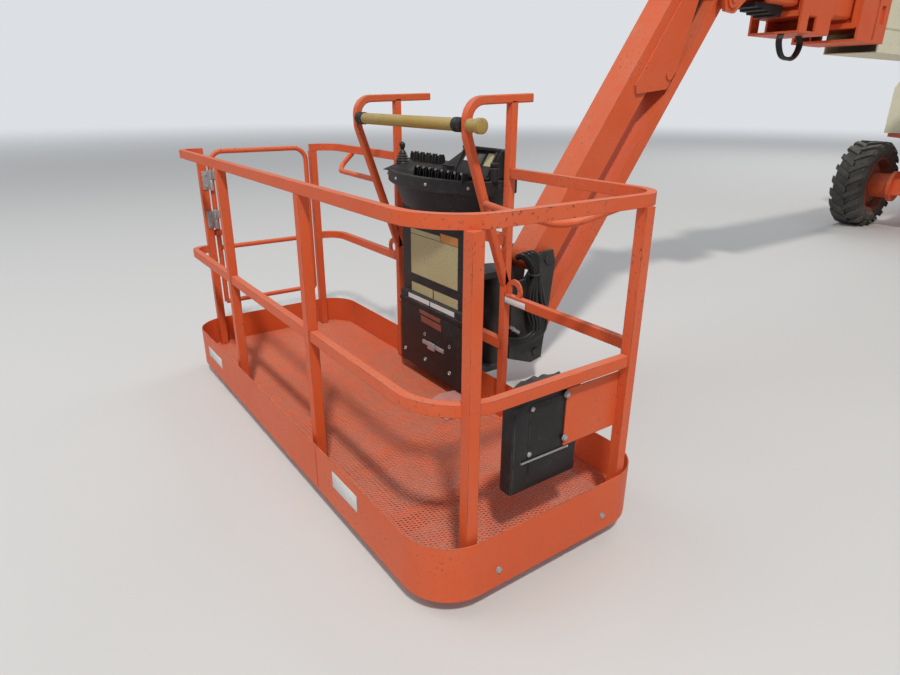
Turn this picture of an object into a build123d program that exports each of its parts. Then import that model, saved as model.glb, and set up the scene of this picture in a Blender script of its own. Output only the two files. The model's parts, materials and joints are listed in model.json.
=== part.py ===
from build123d import *
from math import atan2, cos, degrees, hypot, radians, sin
import os

# Telescopic boom lift with a parallelogram jib and a 2.44 x 0.93 m platform.
# Millimetres. +X runs from the turntable to the platform, +Y to the left, +Z up.
# The origin is on the ground, under the middle of the machine's length.

# Overall sizes
FRONT_REACH = 9200.0
TAIL_REACH = 2450.0
TURNTABLE_X = -(FRONT_REACH - TAIL_REACH) / 2
RUNNING_GAP = 0.3

# Chassis, axles and wheels
WHEELBASE = 2480.0
MACHINE_WIDTH = 2490.0
TYRE_R = 500.0
TYRE_WIDTH = 355.0
TYRE_BEAD_R = 320.0
LUG_HEIGHT = 26.0
LUG_PAIRS = 20
LUG_WIDTH = 62.0
LUG_SWEEP = 150.0
RIM_WALL = 14.0
HUB_R = 140.0
HUB_FACE_Y = 960.0
AXLE_HALF_DEPTH = 95.0
AXLE_HEIGHT = 180.0
BEAM_END_GAP = 140.0
KINGPIN_Y = 750.0
KINGPIN_R = 30.0
KINGPIN_EAR = 34.0
KNUCKLE_R = 62.0
STEER_ARM = 190.0
FRAME_HALF_WIDTH = 430.0
FRAME_END = 1400.0
FRAME_TOP = 900.0
FRAME_END_TOP = 760.0
PEDESTAL_TOP = 960.0
FRAME_BELLY = 360.0
FRAME_BELLY_HALF = 930.0
BEARING_R = 520.0
BEARING_TOP = 1030.0
LUG_BORE_R = 32.0
TIE_DOWN_R = 60.0
TIE_DOWN_REACH = 100.0
TIE_DOWN_Y = 300.0
TIE_DOWN_Z = 670.0
TIE_DOWN_THICKNESS = 25.0

# Turntable
DECK_THICKNESS = 45.0
DECK_FRONT = 960.0
DECK_REAR = -2250.0
DECK_HALF_WIDTH = 1140.0
COUNTERWEIGHT_FRONT = -2060.0
TOWER_INNER_Y = 205.0
TOWER_PLATE = 25.0
TOWER_REAR = -2030.0
PIN_CAP = 25.0
COUNTERWEIGHT_TOP = 1760.0
HOOD_TOP = 1860.0
HOOD_INNER_Y = 300.0
HOOD_REAR = -2040.0
HOOD_FRONT = 860.0
HOOD_WALL = 10.0

# Main boom
BOOM_PIVOT_X = -1650.0
BOOM_PIVOT_Z = 2170.0
BOOM_PIN_R = 45.0
BOOM_WALL = 8.0
NOSE_X = 6250.0
NOSE_PIN_R = 40.0
PIN_FIT = 0.2
LIFT_BASE_X = -700.0
LIFT_BASE_Z = 1300.0
LIFT_EYE_ALONG = 3400.0
LIFT_EYE_DROP = 330.0
LIFT_BARREL_R = 85.0
LIFT_ROD_R = 50.0

# Jib, in side view: pivots on the head, and the pins at the platform's end
JIB_PIVOT_X = 6451.0
JIB_PIVOT_Z = 2475.0
JIB_LENGTH = 2200.0
JIB_ANGLE = -54.0
LINK_LEAD = 52.0
LINK_DROP = 497.0
JIB_ARM_SIZE = 160.0
JIB_ARM_WALL = 8.0
JIB_CHEEK = 12.0
JIB_CHEEK_LENGTH = 1180.0
JIB_CHEEK_RISE = 22.0
JIB_LINK_WIDTH = 150.0
JIB_LINK_DEPTH = 70.0
JIB_LINK_WALL = 6.0
JIB_PIVOT_R = 30.0
JIB_PIN_R = 22.0
HEAD_PLATE = 20.0
HEAD_INNER_Y = 125.0
JIB_CYL_LEAD = 30.0
JIB_CYL_DROP = 260.0
JIB_CYL_EYE_ALONG = 985.0
JIB_CYL_EYE_DROP = 157.0
JIB_CYL_PIN_R = 20.0
JIB_BARREL_R = 42.0
JIB_BARREL_WALL = 9.0
JIB_ROD_R = 24.0

# Platform: u runs along its long side, v from the outer long side to the boom
PLATFORM_LENGTH = 2440.0
PLATFORM_WIDTH = 933.0
PLATFORM_Z = 60.0
TOE_BOARD_HEIGHT = 197.0
TOE_BOARD_WALL = 4.0
CORNER_R = 170.0
FLOOR_Z = 45.0
FLOOR_THICKNESS = 5.0
TOP_RAIL_Z = 1131.0
MID_RAIL_Z = 615.0
RAIL_HEIGHT = 38.0
RAIL_WIDTH = 30.0
POST_SIZE = 38.0
RAIL_INSET = 40.0
ROTATOR_V = 1200.0
UPRIGHT_U = (790.0, 1650.0)
UPRIGHT_V = 905.0
UPRIGHT_TOP = 1425.0
GATE_TUBE_R = 13.0
GATE_BOTTOM = 300.0
GATE_HINGES = (700.0, 1000.0)
GATE_SIDE_GAP = 45.0
HINGE_POST_V = 140.0
LATCH_POST_V = 775.0
END_U = 40.0

os.makedirs("parts", exist_ok=True)
pieces = {}


def station(x):
    """Distance forward of the turntable's axis, as a place along the machine."""
    return TURNTABLE_X + x


def on_platform(u, v, z):
    """A place on the platform, from its own far end, outer side and underside."""
    return (station(FRONT_REACH) - v, u - PLATFORM_LENGTH / 2, PLATFORM_Z + z)


def block(x, y, z, mode=Mode.ADD):
    """A box between two values along each axis."""
    with Locations(((x[0] + x[1]) / 2, (y[0] + y[1]) / 2, (z[0] + z[1]) / 2)):
        Box(abs(x[1] - x[0]), abs(y[1] - y[0]), abs(z[1] - z[0]), mode=mode)


def upright_plate(outline, y_low, y_high, mode=Mode.ADD):
    """A plate whose outline is drawn in side view, as (x, z) points."""
    with BuildSketch(Plane.XZ.offset(-y_high)) as side_view:
        with BuildLine():
            Polyline(*outline, close=True)
        make_face()
    extrude(side_view.sketch, amount=y_high - y_low, mode=mode)


def round_bar(start, end, radius, mode=Mode.ADD):
    """A round bar, pin or bore from one point to another."""
    run = Vector(*end) - Vector(*start)
    with BuildSketch(Plane(origin=start, z_dir=run)) as end_view:
        Circle(radius)
    extrude(end_view.sketch, amount=run.length, mode=mode)


def cross_pin(x, z, radius, y_low, y_high, mode=Mode.ADD):
    """A pin or bore across the machine."""
    round_bar((x, y_low, z), (x, y_high, z), radius, mode)


def square_bar(start, end, width, depth, side=(0, 1, 0)):
    """A straight rectangular bar; width is measured along side."""
    run = Vector(*end) - Vector(*start)
    with BuildSketch(Plane(origin=start, x_dir=side, z_dir=run)) as end_view:
        Rectangle(width, depth)
    extrude(end_view.sketch, amount=run.length)


def bent_bar(points, bend, across, up, section="flat"):
    """A rail bent round its corners: flat bar, or round tube when section is round."""
    with BuildLine() as run:
        FilletPolyline(*points, radius=bend)
    start = run.line @ 0
    ahead = run.line % 0
    flat_way = ahead.cross(Vector(0, 0, 1)) if section == "flat" else None
    with BuildSketch(Plane(origin=start, x_dir=flat_way, z_dir=ahead)) as end_view:
        if section == "flat":
            Rectangle(across, up)
        else:
            Circle(across)
    sweep(end_view.sketch, path=run.line)


def finish(piece, name):
    """Names a finished piece and keeps it for writing."""
    piece.part.label = name
    pieces[name] = piece


# Chassis frame: a deep belly between the axles, shallow ends that sit on them
axle_z = TYRE_R
axle_top = axle_z + AXLE_HEIGHT / 2
axle_bottom = axle_z - AXLE_HEIGHT / 2
rear_axle_x = station(-WHEELBASE / 2)
front_axle_x = station(WHEELBASE / 2)
frame_side = [
    (station(-FRAME_END), axle_top),
    (station(-FRAME_BELLY_HALF - 120), axle_top),
    (station(-FRAME_BELLY_HALF), FRAME_BELLY),
    (station(FRAME_BELLY_HALF), FRAME_BELLY),
    (station(FRAME_BELLY_HALF + 120), axle_top),
    (station(FRAME_END), axle_top),
    (station(FRAME_END), FRAME_END_TOP),
    (station(FRAME_END - 420), FRAME_TOP),
    (station(-FRAME_END + 420), FRAME_TOP),
    (station(-FRAME_END), FRAME_END_TOP),
]
with BuildPart() as chassis_frame:
    upright_plate(frame_side, -FRAME_HALF_WIDTH, FRAME_HALF_WIDTH)
    with BuildSketch(Plane.XY.offset(FRAME_TOP)):
        with Locations((TURNTABLE_X, 0)):
            Circle(BEARING_R + 30)
    extrude(amount=PEDESTAL_TOP - FRAME_TOP)
finish(chassis_frame, "chassis_frame")

with BuildPart() as swing_bearing:
    with BuildSketch(Plane.XY.offset(PEDESTAL_TOP)):
        with Locations((TURNTABLE_X, 0)):
            Circle(BEARING_R)
            Circle(BEARING_R - 150, mode=Mode.SUBTRACT)
    extrude(amount=BEARING_TOP - PEDESTAL_TOP)
finish(swing_bearing, "swing_bearing")

with BuildPart() as tie_down_lugs:
    for end in (-1, 1):
        for side in (-1, 1):
            face_x = station(end * FRAME_END)
            lug_x = face_x + end * TIE_DOWN_REACH
            lug_y = side * TIE_DOWN_Y
            lug_low, lug_high = TIE_DOWN_Z - TIE_DOWN_THICKNESS / 2, TIE_DOWN_Z + TIE_DOWN_THICKNESS / 2
            block((face_x, lug_x), (lug_y - TIE_DOWN_R, lug_y + TIE_DOWN_R), (lug_low, lug_high))
            round_bar((lug_x, lug_y, lug_low), (lug_x, lug_y, lug_high), TIE_DOWN_R)
            round_bar((lug_x, lug_y, lug_low), (lug_x, lug_y, lug_high), LUG_BORE_R, Mode.SUBTRACT)
finish(tie_down_lugs, "tie_down_lugs")

# Front axle: fixed, with a drive hub at each end
with BuildPart() as drive_axle:
    block(
        (front_axle_x - AXLE_HALF_DEPTH, front_axle_x + AXLE_HALF_DEPTH),
        (-720, 720),
        (axle_bottom, axle_top),
    )
    for side in (-1, 1):
        with BuildSketch(Plane(origin=(front_axle_x, side * 720, axle_z), z_dir=(0, side, 0))):
            Circle(HUB_R + 35)
        extrude(amount=40)
        with BuildSketch(Plane(origin=(front_axle_x, side * 760, axle_z), z_dir=(0, side, 0))):
            Circle(HUB_R)
        extrude(amount=HUB_FACE_Y - 760 - RUNNING_GAP)
finish(drive_axle, "drive_axle")

# Rear axle: a beam with a pair of ears at each end for the kingpins
ear_reach = KNUCKLE_R + 4
ear_inner = 90.0
with BuildPart() as steer_axle:
    block(
        (rear_axle_x - AXLE_HALF_DEPTH, rear_axle_x + AXLE_HALF_DEPTH),
        (-KINGPIN_Y + BEAM_END_GAP, KINGPIN_Y - BEAM_END_GAP),
        (axle_bottom, axle_top),
    )
    for side in (-1, 1):
        for low, high in ((-ear_inner - KINGPIN_EAR, -ear_inner), (ear_inner, ear_inner + KINGPIN_EAR)):
            with BuildSketch(Plane.XY.offset(axle_z + low)):
                with Locations((rear_axle_x, side * KINGPIN_Y)):
                    Circle(ear_reach)
                with BuildLine():
                    Polyline(
                        (rear_axle_x - AXLE_HALF_DEPTH, side * (KINGPIN_Y - BEAM_END_GAP - 20)),
                        (rear_axle_x + AXLE_HALF_DEPTH, side * (KINGPIN_Y - BEAM_END_GAP - 20)),
                        (rear_axle_x + ear_reach, side * KINGPIN_Y),
                        (rear_axle_x - ear_reach, side * KINGPIN_Y),
                        close=True,
                    )
                make_face()
                with Locations((rear_axle_x, side * KINGPIN_Y)):
                    Circle(KINGPIN_R + RUNNING_GAP, mode=Mode.SUBTRACT)
            extrude(amount=high - low)
finish(steer_axle, "steer_axle")

# Steering knuckles: kingpin, drive hub and steering arm, one for each side
ARM_TOP = axle_z - 40.0
ARM_THICKNESS = 22.0
knuckle_half = ear_inner - 5.0
for side, name in ((1, "knuckle_left"), (-1, "knuckle_right")):
    with BuildPart() as knuckle:
        pin_y = side * KINGPIN_Y
        round_bar((rear_axle_x, pin_y, axle_z - knuckle_half), (rear_axle_x, pin_y, axle_z + knuckle_half), KNUCKLE_R)
        pin_end = ear_inner + KINGPIN_EAR
        round_bar((rear_axle_x, pin_y, axle_z - pin_end), (rear_axle_x, pin_y, axle_z + pin_end), KINGPIN_R)
        block(
            (rear_axle_x - 55, rear_axle_x + 55),
            (pin_y, side * (KINGPIN_Y + 90)),
            (axle_z - 75, axle_z + 75),
        )
        with BuildSketch(Plane(origin=(rear_axle_x, side * (KINGPIN_Y + 80), axle_z), z_dir=(0, side, 0))):
            Circle(HUB_R)
        extrude(amount=HUB_FACE_Y - KINGPIN_Y - 80 - RUNNING_GAP)
        with BuildSketch(Plane.XY.offset(ARM_TOP - ARM_THICKNESS)):
            with BuildLine():
                Polyline(
                    (rear_axle_x, side * (KINGPIN_Y - 45)),
                    (rear_axle_x, side * (KINGPIN_Y + 45)),
                    (rear_axle_x - STEER_ARM, side * (KINGPIN_Y + 10)),
                    (rear_axle_x - STEER_ARM, side * (KINGPIN_Y - 50)),
                    close=True,
                )
            make_face()
            with Locations((rear_axle_x - STEER_ARM, side * (KINGPIN_Y - 20))):
                Circle(34)
        extrude(amount=ARM_THICKNESS)
    finish(knuckle, name)

# Tie rod under the two steering arms, with the steering cylinder's rod beside it
tie_y = KINGPIN_Y - 20
tie_x = rear_axle_x - STEER_ARM
tie_top = ARM_TOP - ARM_THICKNESS - RUNNING_GAP
TIE_EYE = 36.0
CYLINDER_OFFSET = 62.0
cylinder_z = tie_top - TIE_EYE / 2 - CYLINDER_OFFSET
with BuildPart() as tie_rod:
    for side in (-1, 1):
        round_bar((tie_x, side * tie_y, tie_top - TIE_EYE), (tie_x, side * tie_y, tie_top), 32)
    round_bar((tie_x, -tie_y, tie_top - TIE_EYE / 2), (tie_x, tie_y, tie_top - TIE_EYE / 2), 17)
    block((tie_x - 14, tie_x + 14), (440, 480), (cylinder_z - 16, tie_top - TIE_EYE / 2))
    round_bar((tie_x, -180, cylinder_z), (tie_x, 460, cylinder_z), 14)
finish(tie_rod, "tie_rod")

with BuildPart() as steer_cylinder:
    round_bar((tie_x, -330, cylinder_z), (tie_x, 170, cylinder_z), 32)
    for saddle_y in (-290, 110):
        block(
            (tie_x, rear_axle_x - AXLE_HALF_DEPTH),
            (saddle_y - 15, saddle_y + 15),
            (cylinder_z - 10, cylinder_z + 10),
        )
        block(
            (rear_axle_x - AXLE_HALF_DEPTH - 30, rear_axle_x - AXLE_HALF_DEPTH),
            (saddle_y - 15, saddle_y + 15),
            (cylinder_z - 10, axle_z + 20),
        )
    round_bar((tie_x, -320, cylinder_z), (tie_x, 170, cylinder_z), 14 + RUNNING_GAP, Mode.SUBTRACT)
finish(steer_cylinder, "steer_cylinder")

# Wheels: a tyre with slanting lugs that meet in a chevron, on a dished rim
tyre_y = (MACHINE_WIDTH - TYRE_WIDTH) / 2
half_tyre = TYRE_WIDTH / 2
carcass_r = TYRE_R - LUG_HEIGHT
RIM_HALF = 150.0


def tyre_at(x, side):
    """One tyre, with its chevrons pointing forward at the top."""
    middle = side * tyre_y
    with BuildPart() as tyre:
        with BuildSketch(Plane(origin=(x, middle, axle_z), x_dir=(0, 1, 0), z_dir=(-1, 0, 0))):
            with BuildLine():
                Polyline(
                    (-RIM_HALF, TYRE_BEAD_R),
                    (-half_tyre + 6, TYRE_BEAD_R + 45),
                    (-half_tyre + 6, carcass_r - 60),
                    (-half_tyre + 45, carcass_r - 6),
                    (0, carcass_r),
                    (half_tyre - 45, carcass_r - 6),
                    (half_tyre - 6, carcass_r - 60),
                    (half_tyre - 6, TYRE_BEAD_R + 45),
                    (RIM_HALF, TYRE_BEAD_R),
                    close=True,
                )
            make_face()
        revolve(axis=Axis((x, middle, axle_z), (0, 1, 0)))
        with BuildPart(mode=Mode.PRIVATE) as lugs:
            for turn in range(LUG_PAIRS):
                for hand in (-1, 1):
                    angle = 360 / LUG_PAIRS * (turn + (0.5 if hand > 0 else 0))
                    lug_plane = Plane(origin=(x, middle, axle_z)).rotated((0, angle, 0)).offset(carcass_r - 40)
                    with BuildSketch(lug_plane):
                        with BuildLine():
                            Polyline(
                                (LUG_SWEEP / 2, -hand * 8),
                                (LUG_SWEEP / 2 - LUG_WIDTH, -hand * 8),
                                (-LUG_SWEEP / 2 - LUG_WIDTH / 2, hand * half_tyre),
                                (-LUG_SWEEP / 2 + LUG_WIDTH / 2, hand * half_tyre),
                                close=True,
                            )
                        make_face()
                    extrude(amount=80)
            with BuildSketch(Plane(origin=(x, middle, axle_z), x_dir=(0, 1, 0), z_dir=(-1, 0, 0))):
                with BuildLine():
                    Polyline(
                        (-half_tyre, carcass_r - 110),
                        (-half_tyre, TYRE_R - 34),
                        (-half_tyre + 30, TYRE_R),
                        (half_tyre - 30, TYRE_R),
                        (half_tyre, TYRE_R - 34),
                        (half_tyre, carcass_r - 110),
                        close=True,
                    )
                make_face()
            revolve(axis=Axis((x, middle, axle_z), (0, 1, 0)), mode=Mode.INTERSECT)
        add(lugs.part)
    return tyre


def rim_at(x, side):
    """One dished rim; its disc bolts to the hub, inboard of the tyre's middle."""
    middle = side * tyre_y
    disc = side * HUB_FACE_Y - middle
    with BuildPart() as rim:
        with BuildSketch(Plane(origin=(x, middle, axle_z), x_dir=(0, side, 0), z_dir=(-side, 0, 0))):
            disc_in = disc * side
            with BuildLine():
                Polyline(
                    (-RIM_HALF, TYRE_BEAD_R - RUNNING_GAP),
                    (RIM_HALF, TYRE_BEAD_R - RUNNING_GAP),
                    (RIM_HALF, TYRE_BEAD_R - RIM_WALL - 6),
                    (disc_in + 70, TYRE_BEAD_R - RIM_WALL - 30),
                    (disc_in + 18, HUB_R + 40),
                    (disc_in + 18, 90),
                    (disc_in + 60, 80),
                    (disc_in + 60, 0),
                    (disc_in, 0),
                    (disc_in, HUB_R + 46),
                    (disc_in + 52, TYRE_BEAD_R - RIM_WALL - 30),
                    (-RIM_HALF, TYRE_BEAD_R - RIM_WALL - 6),
                    close=True,
                )
            make_face()
        revolve(axis=Axis((x, middle, axle_z), (0, 1, 0)))
    return rim


WHEELS = {
    "front_left": (front_axle_x, 1),
    "front_right": (front_axle_x, -1),
    "rear_left": (rear_axle_x, 1),
    "rear_right": (rear_axle_x, -1),
}
for corner, (wheel_x, wheel_side) in WHEELS.items():
    finish(tyre_at(wheel_x, wheel_side), f"tyre_{corner}")
    finish(rim_at(wheel_x, wheel_side), f"rim_{corner}")

# Turntable: a deck on the bearing, and two tall plates that carry the boom
deck_bottom = BEARING_TOP + RUNNING_GAP
deck_top = deck_bottom + DECK_THICKNESS
tower_outer_y = TOWER_INNER_Y + TOWER_PLATE
tower_top = BOOM_PIVOT_Z + 120
hood_beam_top = HOOD_TOP - 5
tower_pins = ((station(BOOM_PIVOT_X), BOOM_PIVOT_Z), (station(LIFT_BASE_X), LIFT_BASE_Z))
tower_outline = [
    (station(TOWER_REAR), deck_top),
    (station(DECK_FRONT - 120), deck_top),
    (station(DECK_FRONT - 120), deck_top + 120),
    (station(LIFT_BASE_X + 350), LIFT_BASE_Z + 180),
    (station(LIFT_BASE_X - 450), LIFT_BASE_Z + 380),
    (station(BOOM_PIVOT_X + 210), tower_top),
    (station(BOOM_PIVOT_X - 180), tower_top),
    (station(TOWER_REAR), tower_top - 210),
]
with BuildPart() as turntable_frame:
    with BuildSketch(Plane.XY.offset(deck_bottom)):
        with BuildLine():
            Polyline(
                (station(DECK_REAR), -DECK_HALF_WIDTH + 40),
                (station(DECK_REAR), DECK_HALF_WIDTH - 40),
                (station(HOOD_REAR), DECK_HALF_WIDTH),
                (station(DECK_FRONT - 250), DECK_HALF_WIDTH),
                (station(DECK_FRONT), DECK_HALF_WIDTH - 250),
                (station(DECK_FRONT), -DECK_HALF_WIDTH + 250),
                (station(DECK_FRONT - 250), -DECK_HALF_WIDTH),
                (station(HOOD_REAR), -DECK_HALF_WIDTH),
                close=True,
            )
        make_face()
    extrude(amount=DECK_THICKNESS)
    for side in (-1, 1):
        near, far = sorted((side * TOWER_INNER_Y, side * tower_outer_y))
        upright_plate(tower_outline, near, far)
        beam_low, beam_high = sorted((side * tower_outer_y, side * (HOOD_INNER_Y - RUNNING_GAP)))
        block((station(TOWER_REAR), station(HOOD_FRONT - 10)), (beam_low, beam_high), (hood_beam_top - 60, hood_beam_top))
        block((station(HOOD_FRONT - 70), station(HOOD_FRONT - 10)), (beam_low, beam_high), (deck_top, hood_beam_top))
        for pin_x, pin_z in tower_pins:
            near, far = sorted((side * TOWER_INNER_Y, side * (tower_outer_y + PIN_CAP)))
            cross_pin(pin_x, pin_z, BOOM_PIN_R + 25, near, far)
    block((station(TOWER_REAR), station(TOWER_REAR + 40)), (-TOWER_INNER_Y, TOWER_INNER_Y), (deck_top, 1750))
    for pin_x, pin_z in tower_pins:
        cross_pin(pin_x, pin_z, BOOM_PIN_R, -TOWER_INNER_Y, TOWER_INNER_Y)
finish(turntable_frame, "turntable_frame")

# Counterweight: a casting that fills the tail swing, lower in the middle for the boom's heel
with BuildPart() as counterweight:
    with BuildSketch(Plane.XY.offset(deck_top)):
        with Locations((TURNTABLE_X, 0)):
            Circle(TAIL_REACH)
            Rectangle(2 * TAIL_REACH, 2 * DECK_HALF_WIDTH - 40, mode=Mode.INTERSECT)
        with Locations((station(COUNTERWEIGHT_FRONT + 3000), 0)):
            Rectangle(6000, 2 * TAIL_REACH, mode=Mode.SUBTRACT)
    extrude(amount=COUNTERWEIGHT_TOP - deck_top)
    chamfer(counterweight.faces().sort_by(Axis.Z)[-1].edges().filter_by(GeomType.CIRCLE), 45)
finish(counterweight, "counterweight")

# Engine, tanks and control box under and beside the hoods
with BuildPart() as engine:
    block((station(-1300), station(-250)), (-1000, -420), (deck_top, 1620))
finish(engine, "engine")

with BuildPart() as tanks:
    for x_low, x_high in ((-1500, -560), (-400, 300)):
        block((station(x_low), station(x_high)), (420, 1000), (deck_top, 1580))
    fillet(tanks.edges().filter_by(Axis.Z), 40)
finish(tanks, "tanks")

with BuildPart() as ground_controls:
    block((station(HOOD_FRONT + 8), station(HOOD_FRONT + 78)), (420, 760), (deck_top, 1430))
    fillet(ground_controls.edges().filter_by(Axis.X), 20)
finish(ground_controls, "ground_controls")

# Hoods: shells over the two sides of the turntable, hinged along their inner top edge
hood_bottom = deck_top + 5
for side, name in ((1, "hood_left"), (-1, "hood_right")):
    with BuildPart() as hood:
        outline = [
            (side * HOOD_INNER_Y, hood_bottom),
            (side * (DECK_HALF_WIDTH - 10), hood_bottom),
            (side * (DECK_HALF_WIDTH - 10), HOOD_TOP - 260),
            (side * (DECK_HALF_WIDTH - 130), HOOD_TOP - 40),
            (side * (DECK_HALF_WIDTH - 260), HOOD_TOP),
            (side * HOOD_INNER_Y, HOOD_TOP),
        ]
        with BuildSketch(Plane.YZ.offset(station(HOOD_REAR))):
            with BuildLine():
                Polyline(*outline, close=True)
            make_face()
        extrude(amount=HOOD_FRONT - HOOD_REAR)
        inner_face = hood.faces().filter_by(Axis.Y).sort_by(Axis.Y)[0 if side > 0 else -1]
        under_face = hood.faces().filter_by(Axis.Z).sort_by(Axis.Z)[0]
        offset(amount=-HOOD_WALL, openings=[inner_face, under_face])
    finish(hood, name)

# Main boom: three box sections that slide in each other on wear pads
BOOM_SECTIONS = {
    "base": dict(height=480.0, width=360.0, rear=-1900.0, front=4720.0),
    "mid": dict(height=410.0, width=290.0, rear=-1350.0, front=5400.0),
    "fly": dict(height=340.0, width=220.0, rear=-1150.0, front=6060.0),
}
PAD_LENGTH = 300.0
base, mid, fly = BOOM_SECTIONS["base"], BOOM_SECTIONS["mid"], BOOM_SECTIONS["fly"]


def box_section(size):
    """The bare hollow section, drawn into the part in hand."""
    with BuildSketch(Plane.YZ.offset(station(size["rear"]))) as tube_view:
        with Locations((0, BOOM_PIVOT_Z)):
            RectangleRounded(size["width"], size["height"], 18)
            RectangleRounded(
                size["width"] - 2 * BOOM_WALL, size["height"] - 2 * BOOM_WALL, 10, mode=Mode.SUBTRACT
            )
    extrude(tube_view.sketch, amount=size["front"] - size["rear"])


def ring(x_low, x_high, outer, inner):
    """A rectangular collar or pad ring round the boom; outer and inner are (width, height)."""
    with BuildSketch(Plane.YZ.offset(station(x_low))) as ring_view:
        with Locations((0, BOOM_PIVOT_Z)):
            RectangleRounded(*outer, 12)
            Rectangle(*inner, mode=Mode.SUBTRACT)
    extrude(ring_view.sketch, amount=x_high - x_low)


def inside(size):
    return (size["width"] - 2 * BOOM_WALL, size["height"] - 2 * BOOM_WALL)


def outside(size, grow=0.0):
    return (size["width"] + 2 * grow, size["height"] + 2 * grow)


lift_eye_x = station(BOOM_PIVOT_X + LIFT_EYE_ALONG)
lift_eye_z = BOOM_PIVOT_Z - LIFT_EYE_DROP
base_bottom = BOOM_PIVOT_Z - base["height"] / 2
pivot_x = station(BOOM_PIVOT_X)
EYE_HALF = 48.0
with BuildPart() as base_boom:
    box_section(base)
    for side in (-1, 1):
        lug_low, lug_high = sorted((side * (EYE_HALF + 6), side * (EYE_HALF + 34)))
        upright_plate(
            [
                (lift_eye_x - 150, base_bottom),
                (lift_eye_x - 62, lift_eye_z - 30),
                (lift_eye_x + 62, lift_eye_z - 30),
                (lift_eye_x + 150, base_bottom),
            ],
            lug_low,
            lug_high,
        )
        boss_low, boss_high = sorted((side * (EYE_HALF + 6), side * (EYE_HALF + 58)))
        cross_pin(lift_eye_x, lift_eye_z, 62, boss_low, boss_high)
        boss_low, boss_high = sorted((side * (base["width"] / 2 - BOOM_WALL), side * (TOWER_INNER_Y - 14)))
        cross_pin(pivot_x, BOOM_PIVOT_Z, 110, boss_low, boss_high)
    cross_pin(pivot_x, BOOM_PIVOT_Z, BOOM_PIN_R + 24, -base["width"] / 2, base["width"] / 2)
    cross_pin(pivot_x, BOOM_PIVOT_Z, BOOM_PIN_R + PIN_FIT, -TOWER_INNER_Y, TOWER_INNER_Y, Mode.SUBTRACT)
finish(base_boom, "base_boom")

# Collar at the base section's mouth: cheek plates with access holes, pads inside
COLLAR_BOTTOM = 1830.0
COLLAR_TOP = 2450.0
base_mouth = base["front"] + 10
with BuildPart() as base_collar:
    collar_out = (base["width"] + 40, base["height"] + 40)
    ring(base["front"], 5150, collar_out, outside(mid, 22))
    ring(base_mouth, 5120, outside(mid, 22), outside(mid, 0.5))
    for side in (-1, 1):
        low, high = sorted((side * (base["width"] / 2 + 20), side * (base["width"] / 2 + 36)))
        for x_low, x_high in ((4740, 4900), (4925, 5140)):
            block((station(x_low), station(x_high)), (low, high), (COLLAR_BOTTOM, COLLAR_TOP))
        block((station(4800), station(4860)), (low, high), (1950, 2060), Mode.SUBTRACT)
        for hole_z in (2120, 2300):
            cross_pin(station(5030), hole_z, 18, low, high, Mode.SUBTRACT)
    block(
        (station(4740), station(5140)),
        (-base["width"] / 2 - 36, base["width"] / 2 + 36),
        (COLLAR_BOTTOM, COLLAR_BOTTOM + 16),
    )
finish(base_collar, "base_collar")

# Hose carrier tray hung under the base section
with BuildPart() as carrier_tray:
    with BuildSketch(Plane.YZ.offset(station(3300))):
        with Locations((0, base_bottom - 75)):
            Rectangle(base["width"], 150)
            Rectangle(base["width"] - 12, 138, mode=Mode.SUBTRACT)
    extrude(amount=base["front"] - 3300)
finish(carrier_tray, "carrier_tray")

with BuildPart() as mid_boom:
    box_section(mid)
    rear_pad = (inside(base)[0] - 1, inside(base)[1] - 1)
    ring(mid["rear"], mid["rear"] + PAD_LENGTH, rear_pad, outside(mid))
finish(mid_boom, "mid_boom")

with BuildPart() as mid_collar:
    ring(mid["front"], 5780, outside(mid, 20), outside(fly, 22))
    ring(mid["front"] + 10, 5740, outside(fly, 22), outside(fly, 0.5))
    block((station(5420), station(5790)), (-165, 165), (COLLAR_BOTTOM + 20, COLLAR_BOTTOM + 34))
    for side in (-1, 1):
        low, high = sorted((side * 151, side * 165))
        block((station(5420), station(5600)), (low, high), (COLLAR_BOTTOM + 34, BOOM_PIVOT_Z + 225))
        block((station(5700), station(5790)), (low, high), (COLLAR_BOTTOM + 34, BOOM_PIVOT_Z + 225))
    block((station(5420), station(5440)), (-151, 151), (COLLAR_BOTTOM + 34, BOOM_PIVOT_Z - 225))
finish(mid_collar, "mid_collar")

nose_x = station(NOSE_X)
NOSE_EAR = 24.0
with BuildPart() as fly_boom:
    box_section(fly)
    rear_pad = (inside(mid)[0] - 1, inside(mid)[1] - 1)
    ring(fly["rear"], fly["rear"] + PAD_LENGTH, rear_pad, outside(fly))
    for side in (-1, 1):
        low, high = sorted((side * (fly["width"] / 2 - NOSE_EAR), side * fly["width"] / 2))
        upright_plate(
            [
                (station(fly["front"]), BOOM_PIVOT_Z - fly["height"] / 2),
                (nose_x + 40, BOOM_PIVOT_Z - 85),
                (nose_x + 40, BOOM_PIVOT_Z + 85),
                (station(fly["front"]), BOOM_PIVOT_Z + fly["height"] / 2),
            ],
            low,
            high,
        )
        cross_pin(nose_x, BOOM_PIVOT_Z, 92, low, high)
    cross_pin(nose_x, BOOM_PIVOT_Z, 60, -fly["width"] / 2, fly["width"] / 2)
    cross_pin(nose_x, BOOM_PIVOT_Z, NOSE_PIN_R + PIN_FIT, -fly["width"] / 2, fly["width"] / 2, Mode.SUBTRACT)
finish(fly_boom, "fly_boom")

# End links of the hose carrier, carried under the fly section's nose
with BuildPart() as carrier_links:
    for step in range(4):
        x_low = 5850 + 75 * step
        drop = 62 - 12 * step
        fly_bottom = BOOM_PIVOT_Z - fly["height"] / 2
        block((station(x_low), station(x_low + 75)), (-70, 70), (fly_bottom - drop, fly_bottom))
finish(carrier_links, "carrier_links")

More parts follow.
